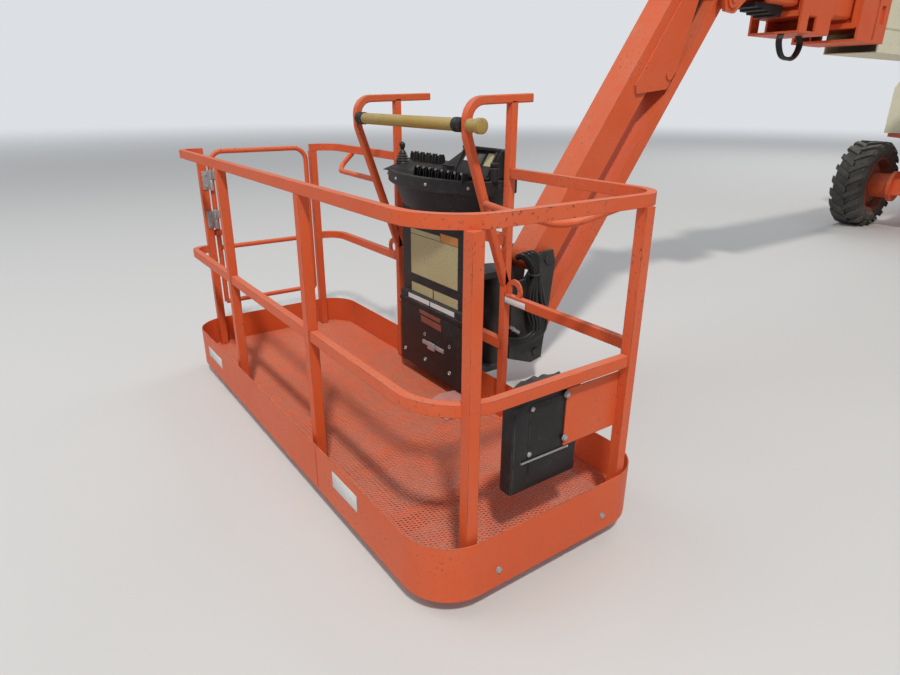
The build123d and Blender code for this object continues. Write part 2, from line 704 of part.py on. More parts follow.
# Lift cylinder between the turntable and the base section
base_pin = (station(LIFT_BASE_X), LIFT_BASE_Z)
lift_run = (lift_eye_x - base_pin[0], lift_eye_z - base_pin[1])
lift_closed = hypot(*lift_run)
lift_plane = Plane(
    origin=(base_pin[0], 0, base_pin[1]),
    x_dir=(0, 1, 0),
    z_dir=(lift_run[0], 0, lift_run[1]),
)
LIFT_HEAD = 300.0
LIFT_EYE_R = 78.0
with BuildPart() as lift_barrel:
    cross_pin(*base_pin, 95, -90, 90)
    with BuildSketch(lift_plane):
        Circle(LIFT_BARREL_R)
    extrude(amount=lift_closed - LIFT_HEAD)
    with BuildSketch(lift_plane.offset(lift_closed - LIFT_HEAD)):
        Circle(LIFT_BARREL_R + 8)
    extrude(amount=110)
    with BuildSketch(lift_plane.offset(130)):
        Circle(LIFT_BARREL_R - 14)
    extrude(amount=lift_closed - LIFT_HEAD - 130, mode=Mode.SUBTRACT)
    with BuildSketch(lift_plane.offset(130)):
        Circle(LIFT_ROD_R + RUNNING_GAP)
    extrude(amount=lift_closed, mode=Mode.SUBTRACT)
    cross_pin(*base_pin, BOOM_PIN_R + PIN_FIT, -90, 90, Mode.SUBTRACT)
finish(lift_barrel, "lift_barrel")

with BuildPart() as lift_rod:
    with BuildSketch(lift_plane.offset(150)):
        Circle(LIFT_BARREL_R - 14 - RUNNING_GAP)
    extrude(amount=90)
    with BuildSketch(lift_plane.offset(150)):
        Circle(LIFT_ROD_R)
    extrude(amount=lift_closed - 150)
    cross_pin(lift_eye_x, lift_eye_z, LIFT_EYE_R, -EYE_HALF, EYE_HALF)
finish(lift_rod, "lift_rod")

# Head: two cheek plates on the fly's nose pin, with the jib's pivots at their front
jib_x = station(JIB_PIVOT_X)
jib_z = JIB_PIVOT_Z
link_x, link_z = jib_x + LINK_LEAD, jib_z - LINK_DROP
head_outline = [
    (nose_x - 95, BOOM_PIVOT_Z + 20),
    (nose_x - 60, BOOM_PIVOT_Z + 95),
    (jib_x - 80, jib_z + 40),
    (jib_x - 40, jib_z + 75),
    (jib_x + 40, jib_z + 72),
    (jib_x + 80, jib_z + 20),
    (link_x + 75, link_z + 20),
    (link_x + 50, link_z - 62),
    (link_x - 40, link_z - 68),
    (nose_x + 20, BOOM_PIVOT_Z - 110),
    (nose_x - 80, BOOM_PIVOT_Z - 60),
]
HEAD_PINS = ((nose_x, BOOM_PIVOT_Z, NOSE_PIN_R), (jib_x, jib_z, JIB_PIVOT_R), (link_x, link_z, JIB_PIN_R))
jib_cyl_base = (jib_x + JIB_CYL_LEAD, jib_z - JIB_CYL_DROP)
with BuildPart() as jib_head:
    head_outer = HEAD_INNER_Y + HEAD_PLATE
    for side in (-1, 1):
        near, far = sorted((side * HEAD_INNER_Y, side * head_outer))
        upright_plate(head_outline, near, far)
    for pin_x, pin_z, pin_r in HEAD_PINS:
        cross_pin(pin_x, pin_z, pin_r, -head_outer - 16, head_outer + 16)
        cross_pin(pin_x, pin_z, pin_r + 24, -head_outer - 10, -head_outer)
        cross_pin(pin_x, pin_z, pin_r + 24, head_outer, head_outer + 10)
    cross_pin(*jib_cyl_base, JIB_CYL_PIN_R, -HEAD_INNER_Y, HEAD_INNER_Y)
    for side in (-1, 1):
        near, far = sorted((side * 95, side * HEAD_INNER_Y))
        cross_pin(jib_x, jib_z, 70, near, far)
finish(jib_head, "jib_head")


def along_jib(along, below=0.0):
    """A point measured down the jib from its upper pivot, and below its middle line."""
    way = radians(JIB_ANGLE)
    x = jib_x + along * cos(way) + below * sin(way)
    z = jib_z + along * sin(way) - below * cos(way)
    return (x, z)


def jib_beam(start, end, top, bottom, y_low, y_high, mode=Mode.ADD):
    """A stretch of the jib, between two distances along it and two offsets below it."""
    corners = [along_jib(start, top), along_jib(end, top), along_jib(end, bottom), along_jib(start, bottom)]
    upright_plate(corners, y_low, y_high, mode)


arm_half = JIB_ARM_SIZE / 2
arm_bore = arm_half - JIB_ARM_WALL
cheek_low = JIB_CYL_EYE_DROP + 36
with BuildPart() as jib_arm:
    jib_beam(0, JIB_LENGTH, -arm_half, arm_half, -arm_half, arm_half)
    jib_beam(110, JIB_LENGTH - 130, -arm_bore, arm_bore, -arm_bore, arm_bore, Mode.SUBTRACT)
    for at in (0, JIB_LENGTH):
        cross_pin(*along_jib(at), arm_half, -arm_half, arm_half)
    for side in (-1, 1):
        near, far = sorted((side * arm_half, side * (arm_half + JIB_CHEEK)))
        upright_plate(
            [
                along_jib(-20, -JIB_CHEEK_RISE),
                along_jib(JIB_CHEEK_LENGTH, -JIB_CHEEK_RISE),
                along_jib(JIB_CHEEK_LENGTH + 30, 10),
                along_jib(JIB_CYL_EYE_ALONG + 60, cheek_low),
                along_jib(JIB_CYL_EYE_ALONG - 60, cheek_low),
                along_jib(560, arm_half - 4),
                along_jib(-20, arm_half - 4),
            ],
            near,
            far,
        )
        near, far = sorted((side * arm_half, side * (arm_half + JIB_CHEEK + 8)))
        cross_pin(*along_jib(JIB_CYL_EYE_ALONG, JIB_CYL_EYE_DROP), JIB_CYL_PIN_R + 4, near, far)
    cross_pin(*along_jib(0), JIB_PIVOT_R + PIN_FIT, -HEAD_INNER_Y, HEAD_INNER_Y, Mode.SUBTRACT)
    cross_pin(*along_jib(JIB_LENGTH), JIB_PIN_R + PIN_FIT, -HEAD_INNER_Y, HEAD_INNER_Y, Mode.SUBTRACT)
finish(jib_arm, "jib_arm")


# Lower link of the parallelogram, the same distance from the arm at both ends
def along_link(along, below=0.0):
    """A point on the link, measured as on the jib."""
    x, z = along_jib(along, below)
    return (x + LINK_LEAD, z - LINK_DROP)


with BuildPart() as jib_link:
    half = JIB_LINK_DEPTH / 2
    wide = JIB_LINK_WIDTH / 2
    upright_plate(
        [along_link(0, -half), along_link(JIB_LENGTH, -half), along_link(JIB_LENGTH, half), along_link(0, half)],
        -wide,
        wide,
    )
    upright_plate(
        [
            along_link(90, -half + JIB_LINK_WALL),
            along_link(JIB_LENGTH - 90, -half + JIB_LINK_WALL),
            along_link(JIB_LENGTH - 90, half - JIB_LINK_WALL),
            along_link(90, half - JIB_LINK_WALL),
        ],
        -wide + JIB_LINK_WALL,
        wide - JIB_LINK_WALL,
        Mode.SUBTRACT,
    )
    for at in (0, JIB_LENGTH):
        cross_pin(*along_link(at), 46, -wide, wide)
        cross_pin(*along_link(at), JIB_PIN_R + PIN_FIT, -wide, wide, Mode.SUBTRACT)
finish(jib_link, "jib_link")

# Jib cylinder, in the gap between the arm and the link
jib_eye = along_jib(JIB_CYL_EYE_ALONG, JIB_CYL_EYE_DROP)
jib_cyl_run = (jib_eye[0] - jib_cyl_base[0], jib_eye[1] - jib_cyl_base[1])
jib_cyl_closed = hypot(*jib_cyl_run)
jib_cyl_plane = Plane(
    origin=(jib_cyl_base[0], 0, jib_cyl_base[1]),
    x_dir=(0, 1, 0),
    z_dir=(jib_cyl_run[0], 0, jib_cyl_run[1]),
)
with BuildPart() as jib_barrel:
    cross_pin(*jib_cyl_base, 40, -60, 60)
    with BuildSketch(jib_cyl_plane):
        Circle(JIB_BARREL_R)
    extrude(amount=jib_cyl_closed - 90)
    with BuildSketch(jib_cyl_plane.offset(60)):
        Circle(JIB_BARREL_R - JIB_BARREL_WALL)
    extrude(amount=jib_cyl_closed - 90 - 60 - 50, mode=Mode.SUBTRACT)
    with BuildSketch(jib_cyl_plane.offset(60)):
        Circle(JIB_ROD_R + RUNNING_GAP)
    extrude(amount=jib_cyl_closed, mode=Mode.SUBTRACT)
    cross_pin(*jib_cyl_base, JIB_CYL_PIN_R + PIN_FIT, -60, 60, Mode.SUBTRACT)
finish(jib_barrel, "jib_barrel")

with BuildPart() as jib_rod:
    with BuildSketch(jib_cyl_plane.offset(70)):
        Circle(JIB_BARREL_R - JIB_BARREL_WALL - RUNNING_GAP)
    extrude(amount=40)
    with BuildSketch(jib_cyl_plane.offset(70)):
        Circle(JIB_ROD_R)
    extrude(amount=jib_cyl_closed - 70)
    cross_pin(*jib_eye, 34, -60, 60)
finish(jib_rod, "jib_rod")

# Rotator: the casting at the jib's end, carried by the arm's and the link's pins
arm_end = along_jib(JIB_LENGTH)
link_end = along_link(JIB_LENGTH)
rotator_x = station(FRONT_REACH) - ROTATOR_V
ROTATOR_R = 78.0
ROTATOR_LOW = 170.0
ROTATOR_HIGH = 640.0
with BuildPart() as rotator:
    for side in (-1, 1):
        near, far = sorted((side * 98, side * 118))
        upright_plate(
            [
                (arm_end[0] - 55, arm_end[1] - 20),
                (arm_end[0] - 35, arm_end[1] + 50),
                (arm_end[0] + 45, arm_end[1] + 45),
                (rotator_x - 110, ROTATOR_HIGH - 25),
                (rotator_x - 20, ROTATOR_HIGH - 40),
                (rotator_x - 20, ROTATOR_LOW + 30),
                (link_end[0] + 30, link_end[1] - 55),
                (link_end[0] - 45, link_end[1] - 40),
                (link_end[0] - 52, link_end[1] + 30),
            ],
            near,
            far,
        )
        near_web, far_web = sorted((side * ROTATOR_R * 0.5, side * 118))
        block((rotator_x - 60, rotator_x - 20), (near_web, far_web), (ROTATOR_LOW + 40, ROTATOR_HIGH - 60))
    round_bar((rotator_x, 0, ROTATOR_LOW), (rotator_x, 0, ROTATOR_HIGH), ROTATOR_R)
    for pin in (arm_end, link_end):
        cross_pin(*pin, JIB_PIN_R, -126, 126)
finish(rotator, "rotator")

# Platform carrier: the arms that hold the platform to the rotator's two flanges
carrier_v = (PLATFORM_WIDTH + RUNNING_GAP, ROTATOR_V)
with BuildPart() as platform_carrier:
    for z_low, z_high in ((ROTATOR_LOW - 30, ROTATOR_LOW - RUNNING_GAP), (ROTATOR_HIGH + RUNNING_GAP, ROTATOR_HIGH + 30)):
        block((rotator_x, station(FRONT_REACH) - 960), (-80, 80), (z_low, z_high))
        round_bar((rotator_x, 0, z_low), (rotator_x, 0, z_high), 80)
    block(
        (station(FRONT_REACH) - 990, station(FRONT_REACH) - PLATFORM_WIDTH),
        (-150, 150),
        (ROTATOR_LOW - 30, ROTATOR_HIGH + 30),
    )
finish(platform_carrier, "platform_carrier")

# Platform: toe board, floor, rails and posts
with BuildPart() as toe_board:
    with BuildSketch(Plane.XY.offset(PLATFORM_Z)):
        with Locations((station(FRONT_REACH) - PLATFORM_WIDTH / 2, 0)):
            RectangleRounded(PLATFORM_WIDTH, PLATFORM_LENGTH, CORNER_R)
            RectangleRounded(
                PLATFORM_WIDTH - 2 * TOE_BOARD_WALL,
                PLATFORM_LENGTH - 2 * TOE_BOARD_WALL,
                CORNER_R - TOE_BOARD_WALL,
                mode=Mode.SUBTRACT,
            )
    extrude(amount=TOE_BOARD_HEIGHT)
finish(toe_board, "toe_board")

floor_inset = TOE_BOARD_WALL + RUNNING_GAP
with BuildPart() as floor_frame:
    with BuildSketch(Plane.XY.offset(PLATFORM_Z + 5)):
        with Locations((station(FRONT_REACH) - PLATFORM_WIDTH / 2, 0)):
            RectangleRounded(
                PLATFORM_WIDTH - 2 * floor_inset, PLATFORM_LENGTH - 2 * floor_inset, CORNER_R - floor_inset
            )
            RectangleRounded(PLATFORM_WIDTH - 90, PLATFORM_LENGTH - 90, CORNER_R - 45, mode=Mode.SUBTRACT)
            with Locations(*[(0, offset_y) for offset_y in (-800, -400, 0, 400, 800)]):
                Rectangle(PLATFORM_WIDTH - 80, 38)
    extrude(amount=FLOOR_Z - 5)
finish(floor_frame, "floor_frame")

with BuildPart() as floor_mesh:
    with BuildSketch(Plane.XY.offset(PLATFORM_Z + FLOOR_Z)):
        with Locations((station(FRONT_REACH) - PLATFORM_WIDTH / 2, 0)):
            RectangleRounded(
                PLATFORM_WIDTH - 2 * floor_inset, PLATFORM_LENGTH - 2 * floor_inset, CORNER_R - floor_inset
            )
    extrude(amount=FLOOR_THICKNESS)
finish(floor_mesh, "floor_mesh")

floor_top = FLOOR_Z + FLOOR_THICKNESS
near_u = PLATFORM_LENGTH - RAIL_INSET
post_top = TOP_RAIL_Z - RAIL_HEIGHT / 2
POSTS = {
    "hinge": (END_U, HINGE_POST_V),
    "latch": (END_U, LATCH_POST_V),
    "front_far": (720.0, RAIL_INSET),
    "front_near": (1600.0, RAIL_INSET),
    "end_front": (near_u, 150.0),
    "end_back": (near_u, 800.0),
}
gate_hinge_v = HINGE_POST_V + GATE_SIDE_GAP
gate_swing_v = LATCH_POST_V - GATE_SIDE_GAP
DOCUMENT_V = (280.0, 590.0)
DOCUMENT_Z = (290.0, 600.0)
DOCUMENT_DEPTH = 60.0
with BuildPart() as rails:
    for u, v in POSTS.values():
        square_bar(on_platform(u, v, floor_top), on_platform(u, v, post_top), POST_SIZE, POST_SIZE)
    for level in (TOP_RAIL_Z, MID_RAIL_Z):
        bent_bar(
            [
                on_platform(END_U, HINGE_POST_V + 15, level),
                on_platform(END_U, RAIL_INSET, level),
                on_platform(near_u, RAIL_INSET, level),
                on_platform(near_u, UPRIGHT_V, level),
                on_platform(UPRIGHT_U[1] + POST_SIZE / 2, UPRIGHT_V, level),
            ],
            [70, 200, 130],
            RAIL_WIDTH,
            RAIL_HEIGHT,
        )
        bent_bar(
            [
                on_platform(END_U, LATCH_POST_V - 15, level),
                on_platform(END_U, UPRIGHT_V, level),
                on_platform(UPRIGHT_U[0] - POST_SIZE / 2, UPRIGHT_V, level),
            ],
            [110],
            RAIL_WIDTH,
            RAIL_HEIGHT,
        )
    for level in GATE_HINGES:
        ring_low = on_platform(END_U, gate_hinge_v, level - 15)
        ring_high = on_platform(END_U, gate_hinge_v, level + 15)
        round_bar(ring_low, ring_high, GATE_TUBE_R + 7)
        square_bar(
            on_platform(END_U, HINGE_POST_V, level), on_platform(END_U, gate_hinge_v, level), 14, 30
        )
        round_bar(ring_low, ring_high, GATE_TUBE_R + RUNNING_GAP, Mode.SUBTRACT)
    plate_u = near_u - POST_SIZE / 2
    hanger_low = on_platform(plate_u, POSTS["end_back"][1], 370)
    hanger_high = on_platform(plate_u + 4, DOCUMENT_V[1] - 50, 570)
    block(*zip(hanger_low, hanger_high))
finish(rails, "rails")

# Console frames: an upright and a bent slanting bar on each side of the console
with BuildPart() as console_frames:
    for u in UPRIGHT_U:
        square_bar(
            on_platform(u, UPRIGHT_V, floor_top), on_platform(u, UPRIGHT_V, UPRIGHT_TOP - 10), POST_SIZE, POST_SIZE
        )
        bent_bar(
            [
                on_platform(u, UPRIGHT_V + 125, UPRIGHT_TOP + 6),
                on_platform(u, 690, UPRIGHT_TOP),
                on_platform(u, 680, UPRIGHT_TOP - 150),
                on_platform(u, 875, 560),
            ],
            [60, 90],
            16.0,
            16.0,
            section="round",
        )
    for level in (860, 400):
        square_bar(
            on_platform(UPRIGHT_U[0], UPRIGHT_V, level),
            on_platform(UPRIGHT_U[1], UPRIGHT_V, level),
            RAIL_HEIGHT,
            RAIL_WIDTH,
            (0, 0, 1),
        )
finish(console_frames, "console_frames")

GUARD_BAR_R = 27.0
guard_v = 684.0 + 16.0 + GUARD_BAR_R + RUNNING_GAP
with BuildPart() as guard_bar:
    round_bar(
        on_platform(UPRIGHT_U[0] - 55, guard_v, UPRIGHT_TOP - 92),
        on_platform(UPRIGHT_U[1] + 55, guard_v, UPRIGHT_TOP - 92),
        GUARD_BAR_R,
    )
finish(guard_bar, "guard_bar")

# Console: control box on top of its cabinet, with the storage box below
with BuildPart() as control_box:
    with BuildSketch(Plane.XY.offset(PLATFORM_Z + 900)):
        with BuildLine():
            front_v = 610.0
            arc_v = 570.0
            Line(on_platform(930, 880, 0)[:2], on_platform(930, front_v, 0)[:2])
            ThreePointArc(
                on_platform(930, front_v, 0)[:2], on_platform(1240, arc_v, 0)[:2], on_platform(1550, front_v, 0)[:2]
            )
            Line(on_platform(1550, front_v, 0)[:2], on_platform(1550, 880, 0)[:2])
            Line(on_platform(1550, 880, 0)[:2], on_platform(930, 880, 0)[:2])
        make_face()
    extrude(amount=170)
finish(control_box, "control_box")

CABINET_U = (1030.0, 1520.0)
CABINET_FRONT_V = 780.0
STORAGE_FRONT_V = 730.0
CONSOLE_Z = (140.0, 470.0, 900.0)


def platform_box(u, v, z):
    """A box between two places on the platform."""
    block(*zip(on_platform(u[0], v[0], z[0]), on_platform(u[1], v[1], z[1])))


with BuildPart() as cabinet:
    platform_box(CABINET_U, (CABINET_FRONT_V, UPRIGHT_V - RAIL_WIDTH / 2), (CONSOLE_Z[0], CONSOLE_Z[2]))
finish(cabinet, "cabinet")

with BuildPart() as storage_box:
    platform_box(CABINET_U, (STORAGE_FRONT_V, CABINET_FRONT_V), (CONSOLE_Z[0], CONSOLE_Z[1]))
finish(storage_box, "storage_box")

with BuildPart() as foot_switch:
    platform_box((1560, 1680), (520, 680), (floor_top, floor_top + 60))
finish(foot_switch, "foot_switch")

with BuildPart() as document_box:
    platform_box((plate_u - DOCUMENT_DEPTH, plate_u), DOCUMENT_V, DOCUMENT_Z)
finish(document_box, "document_box")

# Gate: a bent tube with a lower bar, hinged on the first post
with BuildPart() as gate:
    bent_bar(
        [
            on_platform(END_U, gate_hinge_v, GATE_BOTTOM),
            on_platform(END_U, gate_hinge_v, TOP_RAIL_Z),
            on_platform(END_U, gate_swing_v, TOP_RAIL_Z),
            on_platform(END_U, gate_swing_v, GATE_BOTTOM),
        ],
        [70, 70],
        GATE_TUBE_R,
        GATE_TUBE_R,
        section="round",
    )
    for level in (MID_RAIL_Z, GATE_BOTTOM):
        round_bar(on_platform(END_U, gate_hinge_v, level), on_platform(END_U, gate_swing_v, level), GATE_TUBE_R)
finish(gate, "gate")

for name, piece in pieces.items():
    export_step(piece.part, f"parts/{name}.step")

lift_open = degrees(atan2(lift_run[1], lift_run[0]))
print("lift cylinder", round(lift_closed, 1), "at", round(lift_open, 2), "degrees")
print("jib cylinder", round(jib_cyl_closed, 1))
print("nodes", len(pieces))
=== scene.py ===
# %% [markdown]
# # A telescopic boom lift, dressed
#
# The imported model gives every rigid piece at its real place. This lesson adds what a designer's
# solids leave out: paint that has stood in the sun, dust, an expanded-metal floor, a console full
# of switches, hoses, bolts and wear. Each step says what the piece is, how it could be made and why
# it is made the way it is. Lengths are in metres, in the frame of the solids.

import bpy
import bmesh
import json
import math
from mathutils import Matrix, Vector, noise


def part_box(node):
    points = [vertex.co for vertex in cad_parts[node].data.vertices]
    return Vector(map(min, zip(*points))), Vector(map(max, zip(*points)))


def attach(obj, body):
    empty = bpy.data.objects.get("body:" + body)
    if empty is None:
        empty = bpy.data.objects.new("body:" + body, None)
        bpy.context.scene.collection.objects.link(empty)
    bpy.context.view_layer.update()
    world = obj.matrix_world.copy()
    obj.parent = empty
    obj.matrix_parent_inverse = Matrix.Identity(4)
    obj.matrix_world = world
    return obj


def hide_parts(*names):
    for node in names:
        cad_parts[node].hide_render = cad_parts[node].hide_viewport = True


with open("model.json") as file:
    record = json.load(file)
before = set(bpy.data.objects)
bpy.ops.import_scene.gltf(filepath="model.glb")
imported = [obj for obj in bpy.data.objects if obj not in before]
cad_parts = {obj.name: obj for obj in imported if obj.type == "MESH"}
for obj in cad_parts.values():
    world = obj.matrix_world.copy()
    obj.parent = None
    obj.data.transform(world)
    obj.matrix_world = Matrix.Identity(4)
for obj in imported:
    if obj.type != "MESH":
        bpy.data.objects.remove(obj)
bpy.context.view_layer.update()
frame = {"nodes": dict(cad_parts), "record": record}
nodes = frame["nodes"]

# %% [markdown]
# ## The camera's place
#
# A camera solved from the platform's own edges stands at eye height, in front of the platform's near
# end, and looks down its length. A track-to constraint would aim it, but would lose the small roll of a
# hand-held picture, so the three directions of the camera are written as the columns of a matrix.

# %% Camera
CAMERA_PLACE = Vector((6.6045, 2.3749, 1.4782))
CAMERA_AHEAD = Vector((-0.5441, -0.7574, -0.3609)).normalized()
CAMERA_ROLL = math.radians(0.4025)
CAMERA_LENS = 25.029
CAMERA_SENSOR = 36.0
CAMERA_REACH = 200.0


def new_object(name, data):
    """Puts a mesh, a curve, a lamp or a camera into the scene."""
    item = bpy.data.objects.new(name, data)
    bpy.context.scene.collection.objects.link(item)
    return item


level_right = CAMERA_AHEAD.cross(Vector((0, 0, 1))).normalized()
level_up = level_right.cross(CAMERA_AHEAD)
right = level_right * math.cos(CAMERA_ROLL) + level_up * math.sin(CAMERA_ROLL)
up = level_up * math.cos(CAMERA_ROLL) - level_right * math.sin(CAMERA_ROLL)
camera_data = bpy.data.cameras.new("camera")
camera_data.lens = CAMERA_LENS
camera_data.sensor_width = CAMERA_SENSOR
camera_data.clip_end = CAMERA_REACH
camera = new_object("camera", camera_data)
camera.matrix_world = Matrix((right, up, -CAMERA_AHEAD)).transposed().to_4x4()
camera.location = CAMERA_PLACE
bpy.context.scene.camera = camera
print("camera", tuple(CAMERA_PLACE), "lens", CAMERA_LENS)

# %% [markdown]
# ## Helpers for node trees
#
# Every finish and every repeating tree below is a set of nodes. Written out, each node takes a line to
# make it, one for each property and one for each link. A helper that does all three keeps a tree short
# enough to read as what it computes.


# %% Node helpers
def feed(tree, socket, value):
    """Links a socket to another one, or gives it a value of its own."""
    if isinstance(value, bpy.types.NodeSocket):
        tree.links.new(value, socket)
    else:
        socket.default_value = value


def add_node(tree, kind, inputs=None, **settings):
    """Adds a node, sets its properties, feeds its inputs, and returns it."""
    node = tree.nodes.new(kind)
    for key, value in settings.items():
        setattr(node, key, value)
    for key, value in (inputs or {}).items():
        feed(tree, node.inputs[key], value)
    return node


def colour_mix(tree, factor, first, second):
    """Mixes two colours; each argument is a socket or a value."""
    return add_node(tree, "ShaderNodeMix", {0: factor, 6: first, 7: second}, data_type="RGBA").outputs[2]


def maths(tree, operation, first, second):
    """One arithmetic step, kept between 0 and 1; each value is a socket or a number."""
    return add_node(
        tree, "ShaderNodeMath", {0: first, 1: second}, operation=operation, use_clamp=True,
    ).outputs[0]


def span(tree, value, low, high, **settings):
    """Stretches a value so that low becomes 0 and high becomes 1, clamped."""
    return add_node(tree, "ShaderNodeMapRange", {0: value, 1: low, 2: high}, **settings).outputs[0]


def noise_at(tree, place, scale, detail, roughness=0.55):
    """A cloud pattern at so many cells per metre."""
    inputs = {"Vector": place, "Scale": scale, "Detail": detail, "Roughness": roughness}
    return add_node(tree, "ShaderNodeTexNoise", inputs).outputs["Fac"]


# %% [markdown]
# ## Floor and light
#
# The machine stands on a plain pale floor. It could end at a wall, but a wall shows its corner, so the
# floor's colour fades into the backdrop's far away instead, for the camera alone: the light that falls
# on the machine stays that of a pale floor and a grey sky.

# %% Floor
FLOOR_SIZE = 160.0
FLOOR_COLOUR = (0.62, 0.61, 0.59, 1.0)
FLOOR_ROUGHNESS = 0.9
BACKDROP = (0.72, 0.74, 0.77, 1.0)
FADE_FROM = 9.0
FADE_TO = 34.0

floor_data = bpy.data.meshes.new("studio_floor")
floor_data.from_pydata(
    [(x * FLOOR_SIZE / 2, y * FLOOR_SIZE / 2, 0) for x, y in ((-1, -1), (1, -1), (1, 1), (-1, 1))],
    [], [(0, 1, 2, 3)],
)
studio_floor = new_object("studio_floor", floor_data)
floor_material = bpy.data.materials.new("studio_floor")
floor_material.use_nodes = True
floor_nodes = floor_material.node_tree
floor_shader = floor_nodes.nodes["Principled BSDF"]
floor_shader.inputs["Base Color"].default_value = FLOOR_COLOUR
floor_shader.inputs["Roughness"].default_value = FLOOR_ROUGHNESS


def seen_by_camera(tree):
    """1 where the camera looks straight at a surface, and 0 for light that it sends on."""
    return add_node(tree, "ShaderNodeLightPath").outputs["Is Camera Ray"]


floor_place = add_node(floor_nodes, "ShaderNodeTexCoord").outputs["Object"]
from_middle = add_node(floor_nodes, "ShaderNodeVectorMath", {0: floor_place}, operation="LENGTH")
far_off = span(floor_nodes, from_middle.outputs["Value"], FADE_FROM, FADE_TO, interpolation_type="SMOOTHSTEP")
floor_glow = add_node(floor_nodes, "ShaderNodeEmission", {"Color": BACKDROP})
floor_mix = add_node(floor_nodes, "ShaderNodeMixShader", {
    0: maths(floor_nodes, "MULTIPLY", far_off, seen_by_camera(floor_nodes)),
    1: floor_shader.outputs[0], 2: floor_glow.outputs[0],
})
feed(floor_nodes, floor_nodes.nodes["Material Output"].inputs["Surface"], floor_mix.outputs[0])
floor_data.materials.append(floor_material)
print("floor fades from", FADE_FROM, "to", FADE_TO)

# %% [markdown]
# ## Lamps
#
# Outdoors the sun stands high on the platform's outer side. A sun lamp would give its hard edges, but
# too hard for a plain studio, so a high area lamp stands there and is only as large as keeps the rails'
# stripes on the floor. A wide one fills the shaded side, and one behind lifts the counterweight.

# %% Lamps and world
# Each row: name, place, the point it is turned to, size, watts, colour.
LAMPS = (
    ("key_lamp", (10.5, 9.6, 16.0), (4.0, 0.0, 0.6), 1.3, 2450.0, (1.0, 0.97, 0.92)),
    ("fill_lamp", (11.0, -4.0, 8.0), (3.0, 0.0, 1.0), 8.0, 260.0, (0.93, 0.96, 1.0)),
    ("rear_lamp", (-11.0, -5.0, 10.0), (-2.0, 0.0, 1.0), 9.0, 700.0, (1.0, 1.0, 1.0)),
)
SKY_COLOUR = (0.80, 0.86, 0.95, 1.0)
SKY_STRENGTH = 0.42

for name, place, aim, size, power, colour in LAMPS:
    lamp_data = bpy.data.lights.new(name, "AREA")
    lamp_data.shape = "SQUARE"
    lamp_data.size = size
    lamp_data.energy = power
    lamp_data.color = colour
    lamp = new_object(name, lamp_data)
    lamp.location = place
    lamp.rotation_euler = (Vector(aim) - Vector(place)).to_track_quat("-Z", "Y").to_euler()

world = bpy.data.worlds.new("studio_world")
world.use_nodes = True
sky_nodes = world.node_tree
sky = sky_nodes.nodes["Background"]
sky.inputs["Color"].default_value = SKY_COLOUR
sky.inputs["Strength"].default_value = SKY_STRENGTH
backdrop = add_node(sky_nodes, "ShaderNodeBackground", {"Color": BACKDROP})
sky_mix = add_node(sky_nodes, "ShaderNodeMixShader", {
    0: seen_by_camera(sky_nodes), 1: sky.outputs[0], 2: backdrop.outputs[0],
})
feed(sky_nodes, sky_nodes.nodes["World Output"].inputs["Surface"], sky_mix.outputs[0])
bpy.context.scene.world = world
bpy.context.scene.view_settings.view_transform = "Standard"
print("lamps", len(LAMPS))

# %% [markdown]
# ## One group for weather
#
# Every painted or moulded surface of a machine that has stood outside shows the same three things at
# the same real sizes: the colour fades in broad patches, dust lies on faces that look at the sky, and small
# chips go through to something darker, most of all along edges. Faces that look at the sky are also painted
# paler, a painted highlight of the light that falls on them. Each material could hold its own copy of that.
# A shader group holds it once, and each material only says how much of each it has. The edge mask compares
# the true normal with a rounded one, which also takes the razor edge off the solids.

# %% The weather group's inputs
EDGE_RADIUS = 0.003
EDGE_SAMPLES = 4
PEEL_DEPTH = 0.002
# The patterns' sizes, in cells per metre.
BROAD_CELLS = 2.2
CLOUDY_CELLS = 11.0
FINE_CELLS = 85.0
SPECK_CELLS = 320.0
WEATHER_COLOURS = ("Paint", "Faded_and_Lit", "Under", "Dust")
WEATHER_AMOUNTS = ("Fade", "Chips", "Dusting", "Shine", "Peel")


